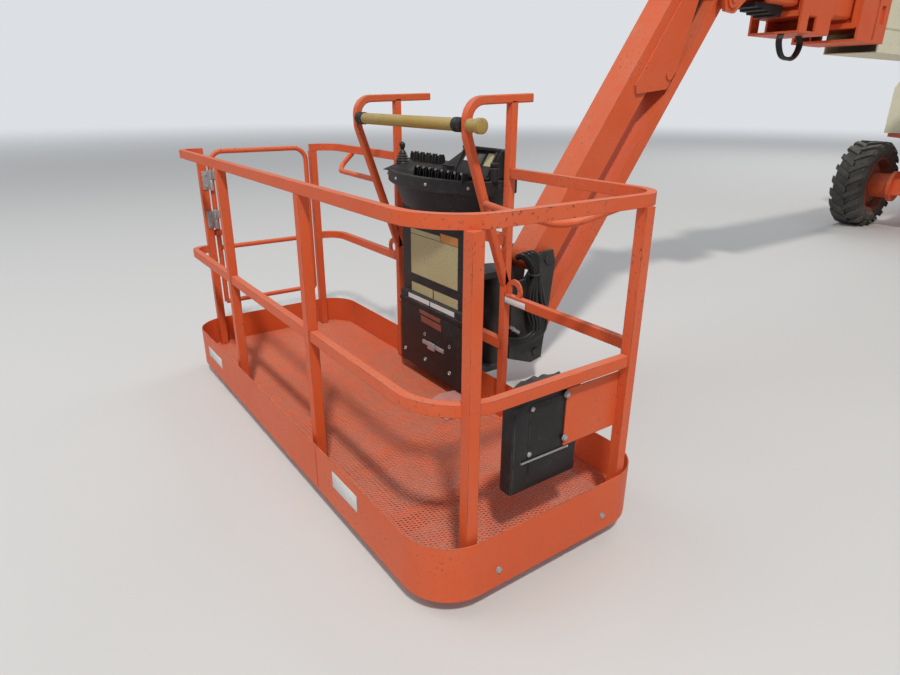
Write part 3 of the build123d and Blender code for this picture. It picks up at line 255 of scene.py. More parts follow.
# %% The weather group
def build_weather_group():
    """Colour, roughness and normal of a surface that has stood outside."""
    tree = bpy.data.node_groups.new("weather", "ShaderNodeTree")
    for names, kind in ((WEATHER_COLOURS, "NodeSocketColor"), (WEATHER_AMOUNTS, "NodeSocketFloat")):
        for name in names:
            tree.interface.new_socket(name, in_out="INPUT", socket_type=kind)
    for name, kind in (
        ("Color", "NodeSocketColor"), ("Roughness", "NodeSocketFloat"), ("Normal", "NodeSocketVector"),
    ):
        tree.interface.new_socket(name, in_out="OUTPUT", socket_type=kind)
    given = add_node(tree, "NodeGroupInput").outputs
    result = add_node(tree, "NodeGroupOutput").inputs
    place = add_node(tree, "ShaderNodeTexCoord").outputs["Object"]
    true_normal = add_node(tree, "ShaderNodeNewGeometry").outputs["Normal"]
    bevel = add_node(tree, "ShaderNodeBevel", {"Radius": EDGE_RADIUS}, samples=EDGE_SAMPLES)
    rounded = bevel.outputs["Normal"]

    # Where the surface is: near an edge, and how much of the sky it faces.
    agree = add_node(tree, "ShaderNodeVectorMath", {0: true_normal, 1: rounded}, operation="DOT_PRODUCT")
    edge = span(tree, agree.outputs["Value"], 0.997, 0.90)
    upward = add_node(tree, "ShaderNodeSeparateXYZ", {0: true_normal}).outputs["Z"]
    skyward = span(tree, upward, 0.1, 0.95)

    # Four clouds of noise, from patches as large as a door to specks.
    broad = noise_at(tree, place, BROAD_CELLS, 5.0)
    cloudy = noise_at(tree, place, CLOUDY_CELLS, 6.0, 0.6)
    fine = noise_at(tree, place, FINE_CELLS, 5.0, 0.65)
    speck = noise_at(tree, place, SPECK_CELLS, 3.0, 0.6)

    # The paint fades in broad patches, and faces that look up are painted paler, a painted highlight.
    # Grime darkens it in small blotches.
    patches = span(tree, broad, 0.36, 0.66)
    fade_and_painted_light = maths(tree, "ADD", maths(tree, "MULTIPLY", patches, 0.45), maths(tree, "MULTIPLY", skyward, 0.55))
    faded = colour_mix(tree, maths(tree, "MULTIPLY", fade_and_painted_light, given["Fade"]), given["Paint"], given["Faded_and_Lit"])
    grime = maths(tree, "MULTIPLY", span(tree, fine, 0.52, 0.75), span(tree, cloudy, 0.45, 0.7))
    grimy = colour_mix(tree, maths(tree, "MULTIPLY", grime, 0.35), faded, given["Under"])

    # Chips show what lies under the paint, along edges and here and there on a face.
    edge_chips = maths(tree, "MULTIPLY", edge, span(tree, cloudy, 0.44, 0.52))
    flat_chips = maths(tree, "MULTIPLY", span(tree, fine, 0.61, 0.65), span(tree, broad, 0.46, 0.60))
    chips = maths(tree, "MULTIPLY", maths(tree, "ADD", edge_chips, flat_chips), given["Chips"])
    chipped = colour_mix(tree, chips, grimy, given["Under"])

    # Dust drifts and lies in specks, thickest on faces that look up.
    resting = maths(tree, "ADD", maths(tree, "MULTIPLY", skyward, 0.7), 0.22)
    drift = maths(tree, "MULTIPLY", span(tree, cloudy, 0.30, 0.72), resting)
    specks = maths(tree, "MULTIPLY", span(tree, speck, 0.50, 0.68), resting)
    dust = maths(tree, "ADD", drift, maths(tree, "MULTIPLY", specks, 0.5))
    dust = maths(tree, "MULTIPLY", dust, given["Dusting"])

    feed(tree, result["Color"], colour_mix(tree, dust, chipped, given["Dust"]))
    rough = maths(tree, "ADD", given["Shine"], maths(tree, "MULTIPLY", dust, 0.5))
    feed(tree, result["Roughness"], maths(tree, "ADD", rough, maths(tree, "MULTIPLY", cloudy, 0.12)))
    height = maths(tree, "SUBTRACT", fine, maths(tree, "MULTIPLY", chips, 0.5))
    bump = add_node(tree, "ShaderNodeBump", {
        "Distance": PEEL_DEPTH, "Strength": given["Peel"], "Height": height, "Normal": rounded,
    })
    feed(tree, result["Normal"], bump.outputs["Normal"])
    return tree


weather = build_weather_group()
print("weather group nodes", len(weather.nodes))

# %% [markdown]
# ## The finishes
#
# The machine wears few finishes: orange and cream enamel, black on the rotator, dark red rims, moulded
# plastic, rubber, zinc and cast iron, and paper on its labels. Each could be a material tuned by hand.
# Because they all weather alike, each is one row of a table: its own colours, and how much it has faded,
# with the painted highlight on faces that look up, chipped and gathered dust. Its metal and its gloss level
# are the same all over, so they are set on the shader itself.

# %% The finishes
LYING_DUST = (0.46, 0.41, 0.34)
PAINT_GLOSS = 0.3
METAL_GLOSS = 0.5
# Each row: name, paint, faded paint (also the painted highlight on faces that look up), what a chip shows,
# then the amounts: fade with that painted highlight, chips, dusting, shine (the roughness of the clean
# surface), peel, and how much of it is metal.
FINISH_ROWS = (
    ("orange_paint", (0.66, 0.088, 0.016), (0.72, 0.19, 0.090), (0.085, 0.030, 0.020),
     (0.60, 0.95, 0.20, 0.40, 0.08), 0.0),
    ("cream_paint", (0.71, 0.66, 0.47), (0.78, 0.75, 0.62), (0.22, 0.13, 0.08),
     (0.60, 0.60, 0.25, 0.40, 0.05), 0.0),
    ("black_paint", (0.018, 0.018, 0.019), (0.055, 0.053, 0.050), (0.10, 0.07, 0.05),
     (0.60, 0.50, 0.22, 0.38, 0.08), 0.0),
    ("dark_red_paint", (0.23, 0.045, 0.022), (0.30, 0.09, 0.055), (0.08, 0.05, 0.04),
     (0.60, 0.60, 0.45, 0.50, 0.06), 0.0),
    ("tyre_rubber", (0.045, 0.043, 0.041), (0.115, 0.108, 0.098), (0.03, 0.03, 0.03),
     (0.80, 0.20, 0.55, 0.72, 0.20), 0.0),
    ("black_plastic", (0.008, 0.008, 0.009), (0.020, 0.020, 0.021), (0.12, 0.115, 0.11),
     (0.55, 0.50, 0.11, 0.42, 0.10), 0.0),
    ("yellow_paint", (0.36, 0.225, 0.030), (0.46, 0.35, 0.13), (0.045, 0.032, 0.022),
     (0.80, 1.00, 0.45, 0.50, 0.12), 0.0),
    ("cast_iron", (0.10, 0.10, 0.10), (0.16, 0.155, 0.15), (0.10, 0.05, 0.03),
     (0.50, 0.40, 0.35, 0.55, 0.25), 0.4),
    ("cylinder_chrome", (0.62, 0.62, 0.63), (0.55, 0.54, 0.53), (0.30, 0.28, 0.26),
     (0.30, 0.10, 0.08, 0.10, 0.01), 1.0),
    ("red_pedal", (0.45, 0.085, 0.065), (0.55, 0.23, 0.20), (0.20, 0.14, 0.12),
     (0.80, 0.80, 0.35, 0.50, 0.08), 0.0),
    ("floor_paint", (0.66, 0.100, 0.024), (0.72, 0.19, 0.10), (0.22, 0.07, 0.045),
     (0.80, 0.30, 0.22, 0.45, 0.08), 0.0),
    ("zinc", (0.42, 0.43, 0.44), (0.55, 0.55, 0.53), (0.20, 0.12, 0.08),
     (0.50, 0.30, 0.25, 0.38, 0.04), 0.6),
    ("hose_rubber", (0.010, 0.010, 0.011), (0.030, 0.030, 0.030), (0.05, 0.05, 0.05),
     (0.50, 0.10, 0.10, 0.28, 0.05), 0.0),
    ("paper_label", (0.40, 0.34, 0.16), (0.54, 0.49, 0.31), (0.10, 0.07, 0.04),
     (0.90, 0.80, 0.30, 0.55, 0.04), 0.0),
    ("white_label", (0.66, 0.66, 0.64), (0.74, 0.74, 0.71), (0.25, 0.20, 0.16),
     (0.70, 0.50, 0.25, 0.45, 0.02), 0.0),
    ("amber_label", (0.55, 0.21, 0.03), (0.62, 0.33, 0.12), (0.20, 0.12, 0.07),
     (0.80, 0.60, 0.30, 0.50, 0.02), 0.0),
)


def weathered(name, paint, faded, under, amounts, metallic):
    """A material whose colour, roughness and normal come from the weather group."""
    material = bpy.data.materials.new(name)
    material.use_nodes = True
    tree = material.node_tree
    shader = tree.nodes["Principled BSDF"]
    shader.inputs["Metallic"].default_value = metallic
    shader.inputs["Specular IOR Level"].default_value = METAL_GLOSS if metallic else PAINT_GLOSS
    group = add_node(tree, "ShaderNodeGroup", node_tree=weather)
    # The faded colour is also the painted highlight on faces that look up.
    for key, colour in zip(WEATHER_COLOURS, (paint, faded, under, LYING_DUST)):
        group.inputs[key].default_value = (*colour, 1.0)
    for key, amount in zip(WEATHER_AMOUNTS, amounts):
        group.inputs[key].default_value = amount
    for output, socket in (("Color", "Base Color"), ("Roughness", "Roughness"), ("Normal", "Normal")):
        feed(tree, shader.inputs[socket], group.outputs[output])
    return material


finishes = {row[0]: weathered(*row) for row in FINISH_ROWS}
for part in frame["record"]["subparts"]:
    solid = nodes[part["node"]]
    solid.data.materials.clear()
    solid.data.materials.append(finishes[part["material_slot"]])

# %% [markdown]
# ## Tools for small pieces
#
# Bolts, plates and switches are closed solids with softened edges. Each could be an object, but that
# would be hundreds. A shape gathers several of them instead, each with its own finish, and becomes one
# object that rides on the body that carries it. Its place is in its mesh, as a designer's solid has it,
# so patterns stay put when the machine moves.

# %% Solids for a shape
EDGE = 0.0015
ROUND_SIDES = 20
Z_WAY = (0, 0, 1)
Y_WAY = (0, 1, 0)
X_WAY = (1, 0, 0)


def take_in(shape, solid, finish):
    """Moves one closed solid into a shape and gives it a finish."""
    bmesh.ops.recalc_face_normals(solid, faces=solid.faces[:])
    for face in solid.faces:
        face.material_index = finish
    carrier = bpy.data.meshes.new("carrier")
    solid.to_mesh(carrier)
    solid.free()
    shape.from_mesh(carrier)
    bpy.data.meshes.remove(carrier)


def soften(solid, edge):
    """Rounds every edge of a solid a little, so that it catches the light."""
    if edge:
        bmesh.ops.bevel(solid, geom=solid.edges[:], offset=edge, segments=2, profile=0.6, affect="EDGES")


def join_rings(solid, rings):
    """Faces between neighbouring rings of equally many points, and a face on each end."""
    for first, second in zip(rings, rings[1:]):
        for step in range(len(first)):
            after = (step + 1) % len(first)
            solid.faces.new((first[step], first[after], second[after], second[step]))
    solid.faces.new(rings[0][::-1])
    solid.faces.new(rings[-1])


def three_ways(ahead, side=None):
    """Directions across, along the side and ahead, square to each other."""
    ahead = Vector(ahead).normalized()
    if side is None:
        side = Z_WAY if abs(ahead.z) < 0.9 else Y_WAY
    across = Vector(side).cross(ahead).normalized()
    return across, ahead.cross(across), ahead


def circle(sides):
    """The cosine and sine of each step round a circle."""
    turns = [2 * math.pi * step / sides for step in range(sides)]
    return [(math.cos(turn), math.sin(turn)) for turn in turns]


# %% Bars, blocks and plates
def add_bar(shape, start, end, width, depth, finish=0, side=None, edge=EDGE):
    """A straight bar with softened edges; its depth is measured along side."""
    start, end = Vector(start), Vector(end)
    across, along_side, _ = three_ways(end - start, side)
    solid = bmesh.new()
    bmesh.ops.create_cube(solid, size=1.0)
    stretch = Matrix((across * width, along_side * depth, end - start)).transposed()
    for vert in solid.verts:
        vert.co = stretch @ vert.co + (start + end) / 2
    soften(solid, edge)
    take_in(shape, solid, finish)


def add_block(shape, one, other, finish=0, edge=EDGE):
    """A block between two opposite corners."""
    one, other = Vector(one), Vector(other)
    middle, size = (one + other) / 2, other - one
    start = (middle.x, middle.y, min(one.z, other.z))
    end = (middle.x, middle.y, max(one.z, other.z))
    add_bar(shape, start, end, abs(size.x), abs(size.y), finish, Y_WAY, edge)


def add_sheet_part(shape, outline, thickness, finish=0):
    """A thin plate from the corners of its face, thickened to the side its corners turn about."""
    corners = [Vector(corner) for corner in outline]
    normal = (corners[1] - corners[0]).cross(corners[2] - corners[1]).normalized()
    solid = bmesh.new()
    near = [solid.verts.new(corner) for corner in corners]
    far = [solid.verts.new(corner + normal * thickness) for corner in corners]
    join_rings(solid, [near, far])
    take_in(shape, solid, finish)


def add_hull(shape, corners, finish=0, edge=0.004):
    """A flat-faced housing round a few corners, with softened edges."""
    solid = bmesh.new()
    for corner in corners:
        solid.verts.new(corner)
    bmesh.ops.convex_hull(solid, input=solid.verts[:])
    bmesh.ops.dissolve_limit(solid, angle_limit=0.02, verts=solid.verts[:], edges=solid.edges[:])
    soften(solid, edge)
    take_in(shape, solid, finish)


# %% Turned solids and tubes
def add_turned(shape, start, ahead, profile, finish=0, sides=ROUND_SIDES):
    """A turned solid; each row of its profile is a distance along and a radius."""
    across, along_side, ahead = three_ways(ahead)
    solid = bmesh.new()
    spokes = [across * cosine + along_side * sine for cosine, sine in circle(sides)]
    rings = []
    for along, radius in profile:
        centre = Vector(start) + ahead * along
        rings.append([solid.verts.new(centre + spoke * radius) for spoke in spokes])
    join_rings(solid, rings)
    take_in(shape, solid, finish)


def plain_mesh(holder):
    """The mesh that an object's modifiers or bevel make."""
    graph = bpy.context.evaluated_depsgraph_get()
    return bpy.data.meshes.new_from_object(holder.evaluated_get(graph), depsgraph=graph)


def add_tube(shape, points, radius, finish=0, sides=8):
    """A hose or rod along the smooth curve that the points pull on."""
    curve = bpy.data.curves.new("tube", "CURVE")
    curve.dimensions = "3D"
    spline = curve.splines.new("NURBS")
    spline.points.add(len(points) - 1)
    for control, point in zip(spline.points, points):
        control.co = (*point, 1.0)
    spline.order_u = 3
    spline.use_endpoint_u = True
    spline.resolution_u = 6
    curve.bevel_depth = radius
    curve.bevel_resolution = max(1, sides // 4)
    curve.use_fill_caps = True
    holder = new_object("tube", curve)
    tube = plain_mesh(holder)
    solid = bmesh.new()
    solid.from_mesh(tube)
    bmesh.ops.remove_doubles(solid, verts=solid.verts[:], dist=1e-5)
    bpy.data.objects.remove(holder)
    bpy.data.curves.remove(curve)
    bpy.data.meshes.remove(tube)
    take_in(shape, solid, finish)


# %% From a shape to a piece
SHARP_FROM = 38
SOFT_SHARP_FROM = 60


def settle(name, shape, finish_names, body, sharp_from=SHARP_FROM):
    """Turns a shape into an object that rides on a body; edges sharper than an angle stay sharp."""
    data = bpy.data.meshes.new(name)
    shape.to_mesh(data)
    shape.free()
    for finish_name in finish_names:
        data.materials.append(finishes[finish_name])
    data.shade_smooth()
    data.set_sharp_from_angle(angle=math.radians(sharp_from))
    piece = new_object(name, data)
    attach(piece, body)
    print(name, "faces", len(data.polygons))
    return piece


# %% Places on the platform
toe_low, toe_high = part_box("toe_board")


def on_platform(u, v, z):
    """A place in the platform: along it, in from its outer side, and up from its underside."""
    return Vector((toe_high[0] - v, toe_low[1] + u, toe_low[2] + z))


def platform_block(shape, us, vs, zs, finish=0, edge=EDGE):
    """A block in the platform between two places along it, two in from its side and two up."""
    add_block(shape, on_platform(us[0], vs[0], zs[0]), on_platform(us[1], vs[1], zs[1]), finish, edge)


# %% [markdown]
# ## One tree that repeats
#
# A bolt, a switch or a stud is modelled once. Copies could be joined in a loop, but each copy would have
# to be turned by hand. A Geometry Nodes tree puts the unit on every point of a small list, turned the way
# that the point says, and the result is baked to a plain mesh.


# %% Building and running trees
def new_tree(name, inputs):
    """A Geometry Nodes tree with named inputs and one output, with its sockets at hand."""
    tree = bpy.data.node_groups.new(name, "GeometryNodeTree")
    for socket_name, kind in inputs:
        tree.interface.new_socket(socket_name, in_out="INPUT", socket_type="NodeSocket" + kind)
    tree.interface.new_socket("Geometry", in_out="OUTPUT", socket_type="NodeSocketGeometry")
    return tree, add_node(tree, "NodeGroupInput").outputs, add_node(tree, "NodeGroupOutput").inputs


def run_tree(holder, tree, values):
    """Runs a tree on an object, returns its result as a shape and removes the object."""
    modifier = holder.modifiers.new("tree", "NODES")
    modifier.node_group = tree
    for socket in tree.interface.items_tree:
        if socket.in_out == "INPUT" and socket.name in values:
            modifier[socket.identifier] = values[socket.name]
    data = plain_mesh(holder)
    holder.modifiers.remove(modifier)
    bpy.data.objects.remove(holder)
    shape = bmesh.new()
    shape.from_mesh(data)
    bpy.data.meshes.remove(data)
    return shape


# %% The repeating tree
def build_repeat_tree():
    """Puts one small object on every point, turned along the point's own direction."""
    tree, given, result = new_tree(
        "repeat_on_points", (("Geometry", "Geometry"), ("Unit", "Object"), ("Finish", "Material")),
    )
    unit = add_node(tree, "GeometryNodeObjectInfo", {"Object": given["Unit"]})
    way = add_node(tree, "GeometryNodeInputNamedAttribute", {"Name": "ahead"}, data_type="FLOAT_VECTOR")
    turn = add_node(tree, "FunctionNodeAlignRotationToVector", {"Vector": way.outputs["Attribute"]}, axis="Z")
    spread = add_node(tree, "GeometryNodeInstanceOnPoints", {
        "Points": given["Geometry"], "Instance": unit.outputs["Geometry"],
        "Rotation": turn.outputs["Rotation"],
    })
    real = add_node(tree, "GeometryNodeRealizeInstances", {"Geometry": spread.outputs["Instances"]})
    finish = add_node(tree, "GeometryNodeSetMaterial", {
        "Geometry": real.outputs["Geometry"], "Material": given["Finish"],
    })
    feed(tree, result["Geometry"], finish.outputs["Geometry"])
    return tree


repeat_tree = build_repeat_tree()


def repeat_at(name, unit_shape, spots, finish_name, body):
    """One small shape at each place of a list of places and directions, as one piece."""
    unit_data = bpy.data.meshes.new(name + "_unit")
    unit_shape.to_mesh(unit_data)
    unit_shape.free()
    unit = new_object(name + "_unit", unit_data)
    points = bpy.data.meshes.new(name + "_points")
    points.from_pydata([tuple(place) for place, _ in spots], [], [])
    ways = points.attributes.new("ahead", "FLOAT_VECTOR", "POINT")
    for item, (_, ahead) in zip(ways.data, spots):
        item.vector = Vector(ahead).normalized()
    holder = new_object(name + "_points", points)
    shape = run_tree(holder, repeat_tree, {"Unit": unit, "Finish": finishes[finish_name]})
    bpy.data.objects.remove(unit)
    return settle(name, shape, [finish_name], body)


# %% A hexagon bolt head, modelled once
def bolt_unit(across=0.017, height=0.008):
    """A bolt head with its washer, standing on its own origin along Z."""
    shape = bmesh.new()
    add_turned(shape, (0, 0, 0), Z_WAY, [(0, across * 0.68), (0.0015, across * 0.68), (0.002, across * 0.62)])
    head = [(0, across * 0.56), (height - 0.003, across * 0.56), (height - 0.002, across * 0.46)]
    add_turned(shape, (0, 0, 0.002), Z_WAY, head, 0, 6)
    return shape


# %% [markdown]
# ## The expanded-metal floor
#
# The platform's floor is one sheet, slit and pulled open into diamonds, so its strands run in zigzags
# that touch at every other bend. A pattern of holes in a flat plane would look right from above only.
# The tree makes one zigzag wire with the strand's tilted section, repeats it across the floor, half a
# diamond out of step each time, and pulls every point that lies past the rounded corners back to the
# toe board.

# %% The floor's sizes
DIAMOND_LONG = 0.0305
DIAMOND_SHORT = 0.0127
STRAND_WIDTH = 0.0044
STRAND_DEPTH = 0.0026
STRAND_TILT = math.radians(-35)
FLOOR_CORNER = 0.165
FLOOR_SHARP_FROM = 25
ALONG_X, ALONG_Y = 0, 1
floor_low, floor_high = (Vector(corner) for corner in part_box("floor_mesh"))


# %% The floor's rows of points
def vector_step(tree, operation, *values):
    """One step of vector arithmetic; each value is a socket or a vector."""
    node = add_node(tree, "ShaderNodeVectorMath", dict(enumerate(values)), operation=operation)
    return node.outputs["Value" if operation == "LENGTH" else "Vector"]


def plain_maths(tree, operation, first, second):
    """One arithmetic step that may leave the range from 0 to 1."""
    return add_node(tree, "ShaderNodeMath", {0: first, 1: second}, operation=operation).outputs[0]


def offset_by_parity(tree, geometry, shift, axis):
    """Moves every second point by a shift along one axis."""
    odd = plain_maths(tree, "MODULO", add_node(tree, "GeometryNodeInputIndex").outputs[0], 2.0)
    joined = add_node(tree, "ShaderNodeCombineXYZ", {axis: plain_maths(tree, "MULTIPLY", odd, shift)})
    return add_node(
        tree, "GeometryNodeSetPosition", {"Geometry": geometry, "Offset": joined.outputs[0]},
    ).outputs["Geometry"]


def point_row(tree, count, step, axis):
    """A row of points along one axis."""
    joined = add_node(tree, "ShaderNodeCombineXYZ", {axis: step})
    inputs = {"Count": count, "Offset": joined.outputs[0]}
    return add_node(tree, "GeometryNodeMeshLine", inputs, mode="OFFSET").outputs["Mesh"]


# %% The floor's tree
def build_floor_tree():
    """Expanded metal from one zigzag wire, cut to a rounded rectangle about the origin."""
    tree, given, result = new_tree("expanded_metal", (
        ("Wires", "Int"), ("Bends", "Int"), ("Half Long", "Float"), ("Half Short", "Float"),
        ("Width", "Float"), ("Depth", "Float"), ("Tilt", "Vector"), ("Start", "Vector"),
        ("Inner", "Vector"), ("Corner", "Float"), ("Finish", "Material"),
    ))

    # One wire: a row of points pulled into a zigzag, swept with the tilted section.
    straight = point_row(tree, given["Bends"], given["Half Long"], ALONG_X)
    bends = offset_by_parity(tree, straight, given["Half Short"], ALONG_Y)
    wire = add_node(tree, "GeometryNodeMeshToCurve", {"Mesh": bends})
    level = add_node(tree, "GeometryNodeSetCurveNormal", {"Curve": wire.outputs["Curve"]}, mode="Z_UP")
    section = add_node(tree, "GeometryNodeCurvePrimitiveQuadrilateral", {
        "Width": given["Width"], "Height": given["Depth"],
    })
    tilted = add_node(tree, "GeometryNodeTransform", {
        "Geometry": section.outputs["Curve"], "Rotation": given["Tilt"],
    })
    strand = add_node(tree, "GeometryNodeCurveToMesh", {
        "Curve": level.outputs["Curve"], "Profile Curve": tilted.outputs["Geometry"], "Fill Caps": True,
    })

    # Many wires, each half a diamond out of step with the one before.
    column = point_row(tree, given["Wires"], given["Half Short"], ALONG_Y)
    rows = offset_by_parity(tree, column, given["Half Long"], ALONG_X)
    spread = add_node(tree, "GeometryNodeInstanceOnPoints", {
        "Points": rows, "Instance": strand.outputs["Mesh"],
    })
    real = add_node(tree, "GeometryNodeRealizeInstances", {"Geometry": spread.outputs["Instances"]})
    centred = add_node(tree, "GeometryNodeSetPosition", {
        "Geometry": real.outputs["Geometry"], "Offset": given["Start"],
    })

    # What lies further from the inner rectangle than the corner's radius is pulled back to it.
    place = add_node(tree, "GeometryNodeInputPosition").outputs[0]
    reach = vector_step(tree, "ABSOLUTE", place)
    beyond = vector_step(tree, "MAXIMUM", vector_step(tree, "SUBTRACT", reach, given["Inner"]), (0, 0, 0))
    share = plain_maths(tree, "DIVIDE", given["Corner"], vector_step(tree, "LENGTH", beyond))
    kept = plain_maths(tree, "MINIMUM", share, 1.0)
    pulled = add_node(tree, "ShaderNodeVectorMath", {0: beyond, "Scale": kept}, operation="SCALE")
    inside = vector_step(tree, "MINIMUM", reach, given["Inner"])
    trimmed = vector_step(tree, "ADD", inside, pulled.outputs["Vector"])
    signed = vector_step(tree, "MULTIPLY", trimmed, vector_step(tree, "SIGN", place))
    trim = add_node(tree, "GeometryNodeSetPosition", {
        "Geometry": centred.outputs["Geometry"], "Position": signed,
    })
    finish = add_node(tree, "GeometryNodeSetMaterial", {
        "Geometry": trim.outputs["Geometry"], "Material": given["Finish"],
    })
    feed(tree, result["Geometry"], finish.outputs["Geometry"])
    return tree


# %% The floor
floor_size = floor_high - floor_low
floor_points = new_object("floor_points", bpy.data.meshes.new("floor_points"))
floor_shape = run_tree(floor_points, build_floor_tree(), {
    "Wires": math.ceil(floor_size.y / (DIAMOND_SHORT / 2)) + 1,
    "Bends": math.ceil(floor_size.x / (DIAMOND_LONG / 2)) + 2,
    "Half Long": DIAMOND_LONG / 2, "Half Short": DIAMOND_SHORT / 2,
    "Width": STRAND_WIDTH, "Depth": STRAND_DEPTH, "Tilt": (0.0, 0.0, STRAND_TILT),
    "Start": Vector((-floor_size.x / 2 - DIAMOND_LONG / 4, -floor_size.y / 2, 0.0)),
    "Inner": Vector((floor_size.x / 2 - FLOOR_CORNER, floor_size.y / 2 - FLOOR_CORNER, 1.0)),
    "Corner": FLOOR_CORNER, "Finish": finishes["floor_paint"],
})
floor_middle = (floor_low + floor_high) / 2
for vert in floor_shape.verts:
    vert.co += floor_middle
floor_piece = settle(
    "expanded_floor", floor_shape, ["floor_paint"], "platform", FLOOR_SHARP_FROM,
)
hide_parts("floor_mesh")

# %% [markdown]
# ## Bent tubes, rings and lofts
#
# A welded frame is a few tubes, each bent in one or two places. A bevelled curve would twist a square
# section at the bends, so a tube is swept by hand: its corners are replaced by short arcs, a ring of
# points stands square to the run at every step, and neighbouring rings are joined. Housings are lofted in
# the same way from a few outlines.


# %% Corners, rings and lofts
def rounded_run(points, bends, steps=6):
    """A run of points whose inner corners are replaced by arcs of the given radii."""
    points = [Vector(point) for point in points]
    run = [points[0]]
    for before, corner, after, radius in zip(points, points[1:], points[2:], bends):
        back, ahead = (before - corner).normalized(), (after - corner).normalized()
        half_angle = math.acos(max(-1.0, min(1.0, back.dot(ahead)))) / 2
        reach = radius / math.tan(half_angle)
        centre = corner + (back + ahead).normalized() * (radius / math.sin(half_angle))
        first, last = corner + back * reach - centre, corner + ahead * reach - centre
        turn = first.angle(last)
        for step in range(steps + 1):
            share = step / steps
            spoke = first * math.sin((1 - share) * turn) + last * math.sin(share * turn)
            run.append(centre + spoke / math.sin(turn))
    run.append(points[-1])
    return run


def add_loft(shape, rings, finish=0):
    """Joins rings of equally many points and closes both ends."""
    solid = bmesh.new()
    join_rings(solid, [[solid.verts.new(point) for point in ring] for ring in rings])
    take_in(shape, solid, finish)


def square_section(width, depth, corner=0.004):
    """The outline of a rectangular tube with small rounded corners."""
    outline = []
    for across, along in ((1, 1), (-1, 1), (-1, -1), (1, -1)):
        x, y = across * width / 2, along * depth / 2
        ends = [(x, y - along * corner), (x - across * corner, y)]
        outline += ends if across == along else ends[::-1]
    return outline


def round_section(radius, sides=14):
    """The outline of a round tube."""
    return [(radius * cosine, radius * sine) for cosine, sine in circle(sides)]


def add_bent_tube(shape, points, bends, section, side):
    """Sweeps a section along a run; side stays square to the run's own plane."""
    run = rounded_run(points, bends)
    rings = []
    for step, place in enumerate(run):
        ahead = (run[min(step + 1, len(run) - 1)] - run[max(step - 1, 0)]).normalized()
        across = Vector(side).cross(ahead).normalized()
        above = ahead.cross(across)
        rings.append([place + across * x + above * y for x, y in section])
    add_loft(shape, rings)


def add_ring(shape, centre, ahead, outer, inner, thickness, sides=24):
    """A flat ring, such as an eye for a harness."""
    across, along_side, ahead = three_ways(ahead)
    half = thickness / 2
    solid = bmesh.new()
    rows = []
    for cosine, sine in circle(sides):
        way = across * cosine + along_side * sine
        rows.append([
            solid.verts.new(Vector(centre) + way * radius + ahead * along)
            for radius, along in ((inner, -half), (outer, -half), (outer, half), (inner, half))
        ])
    for first, second in zip(rows, rows[1:] + rows[:1]):
        for corner in range(4):
            after = (corner + 1) % 4
            solid.faces.new((first[corner], first[after], second[after], second[corner]))
    take_in(shape, solid, 0)


# %% [markdown]
# ## The frames round the console
#
# Two square tubes stand behind the console, and each carries a second one that comes forward at the
# top, bends down and slants back to it. Thin round hand loops lead from the slanting tubes to the top
# rail, and flat eyes for a harness sit at the uprights. The solids have these frames as thinner bars, and
# a better finish alone would leave them thin, so they get the tube's true section, bends and loops here.

# %% The console frames
FRAME_TUBE = 0.033
FRAME_EDGE = 0.003
FRAME_BENDS = (0.070, 0.090)
UPRIGHT_U = (0.790, 1.650)
UPRIGHT_V = 0.905
FRAME_FRONT_V = 0.689
FRAME_BACK_V = (1.092, 0.998)
FRAME_TOP = 1.402
FRAME_KNEE_Z = 1.276
FRAME_FOOT_Z = 0.676
FLOOR_TOP = 0.030
CROSS_TUBE = 0.038
CROSS_LEVELS = (0.860, 0.400)

frames = bmesh.new()
for upright_u, back_v in zip(UPRIGHT_U, FRAME_BACK_V):
    add_bar(
        frames, on_platform(upright_u, UPRIGHT_V, FLOOR_TOP), on_platform(upright_u, UPRIGHT_V, FRAME_TOP),
        FRAME_TUBE, FRAME_TUBE, 0, Y_WAY, FRAME_EDGE,
    )
    hook = ((back_v, FRAME_TOP + 0.010), (FRAME_FRONT_V - 0.004, FRAME_TOP - 0.002),
            (FRAME_FRONT_V, FRAME_KNEE_Z), (UPRIGHT_V - 0.004, FRAME_FOOT_Z))
    add_bent_tube(
        frames, [on_platform(upright_u, v, z) for v, z in hook], FRAME_BENDS,
        square_section(FRAME_TUBE, FRAME_TUBE), Y_WAY,
    )
for level in CROSS_LEVELS:
    add_bar(
        frames, on_platform(UPRIGHT_U[0], UPRIGHT_V, level), on_platform(UPRIGHT_U[1], UPRIGHT_V, level),
        CROSS_TUBE, CROSS_TUBE, 0, Z_WAY, FRAME_EDGE,
    )

# %% The hand loops and the eyes
LOOP_R = 0.0135
LOOP_Z = 1.022
RAIL_UNDER = 1.112
EYE_Z = 0.657
EYE_OUT = 0.060
EYE_OUTER, EYE_INNER, EYE_THICK = 0.048, 0.025, 0.010
EYE_TAB = (0.018, 0.005, 0.024)

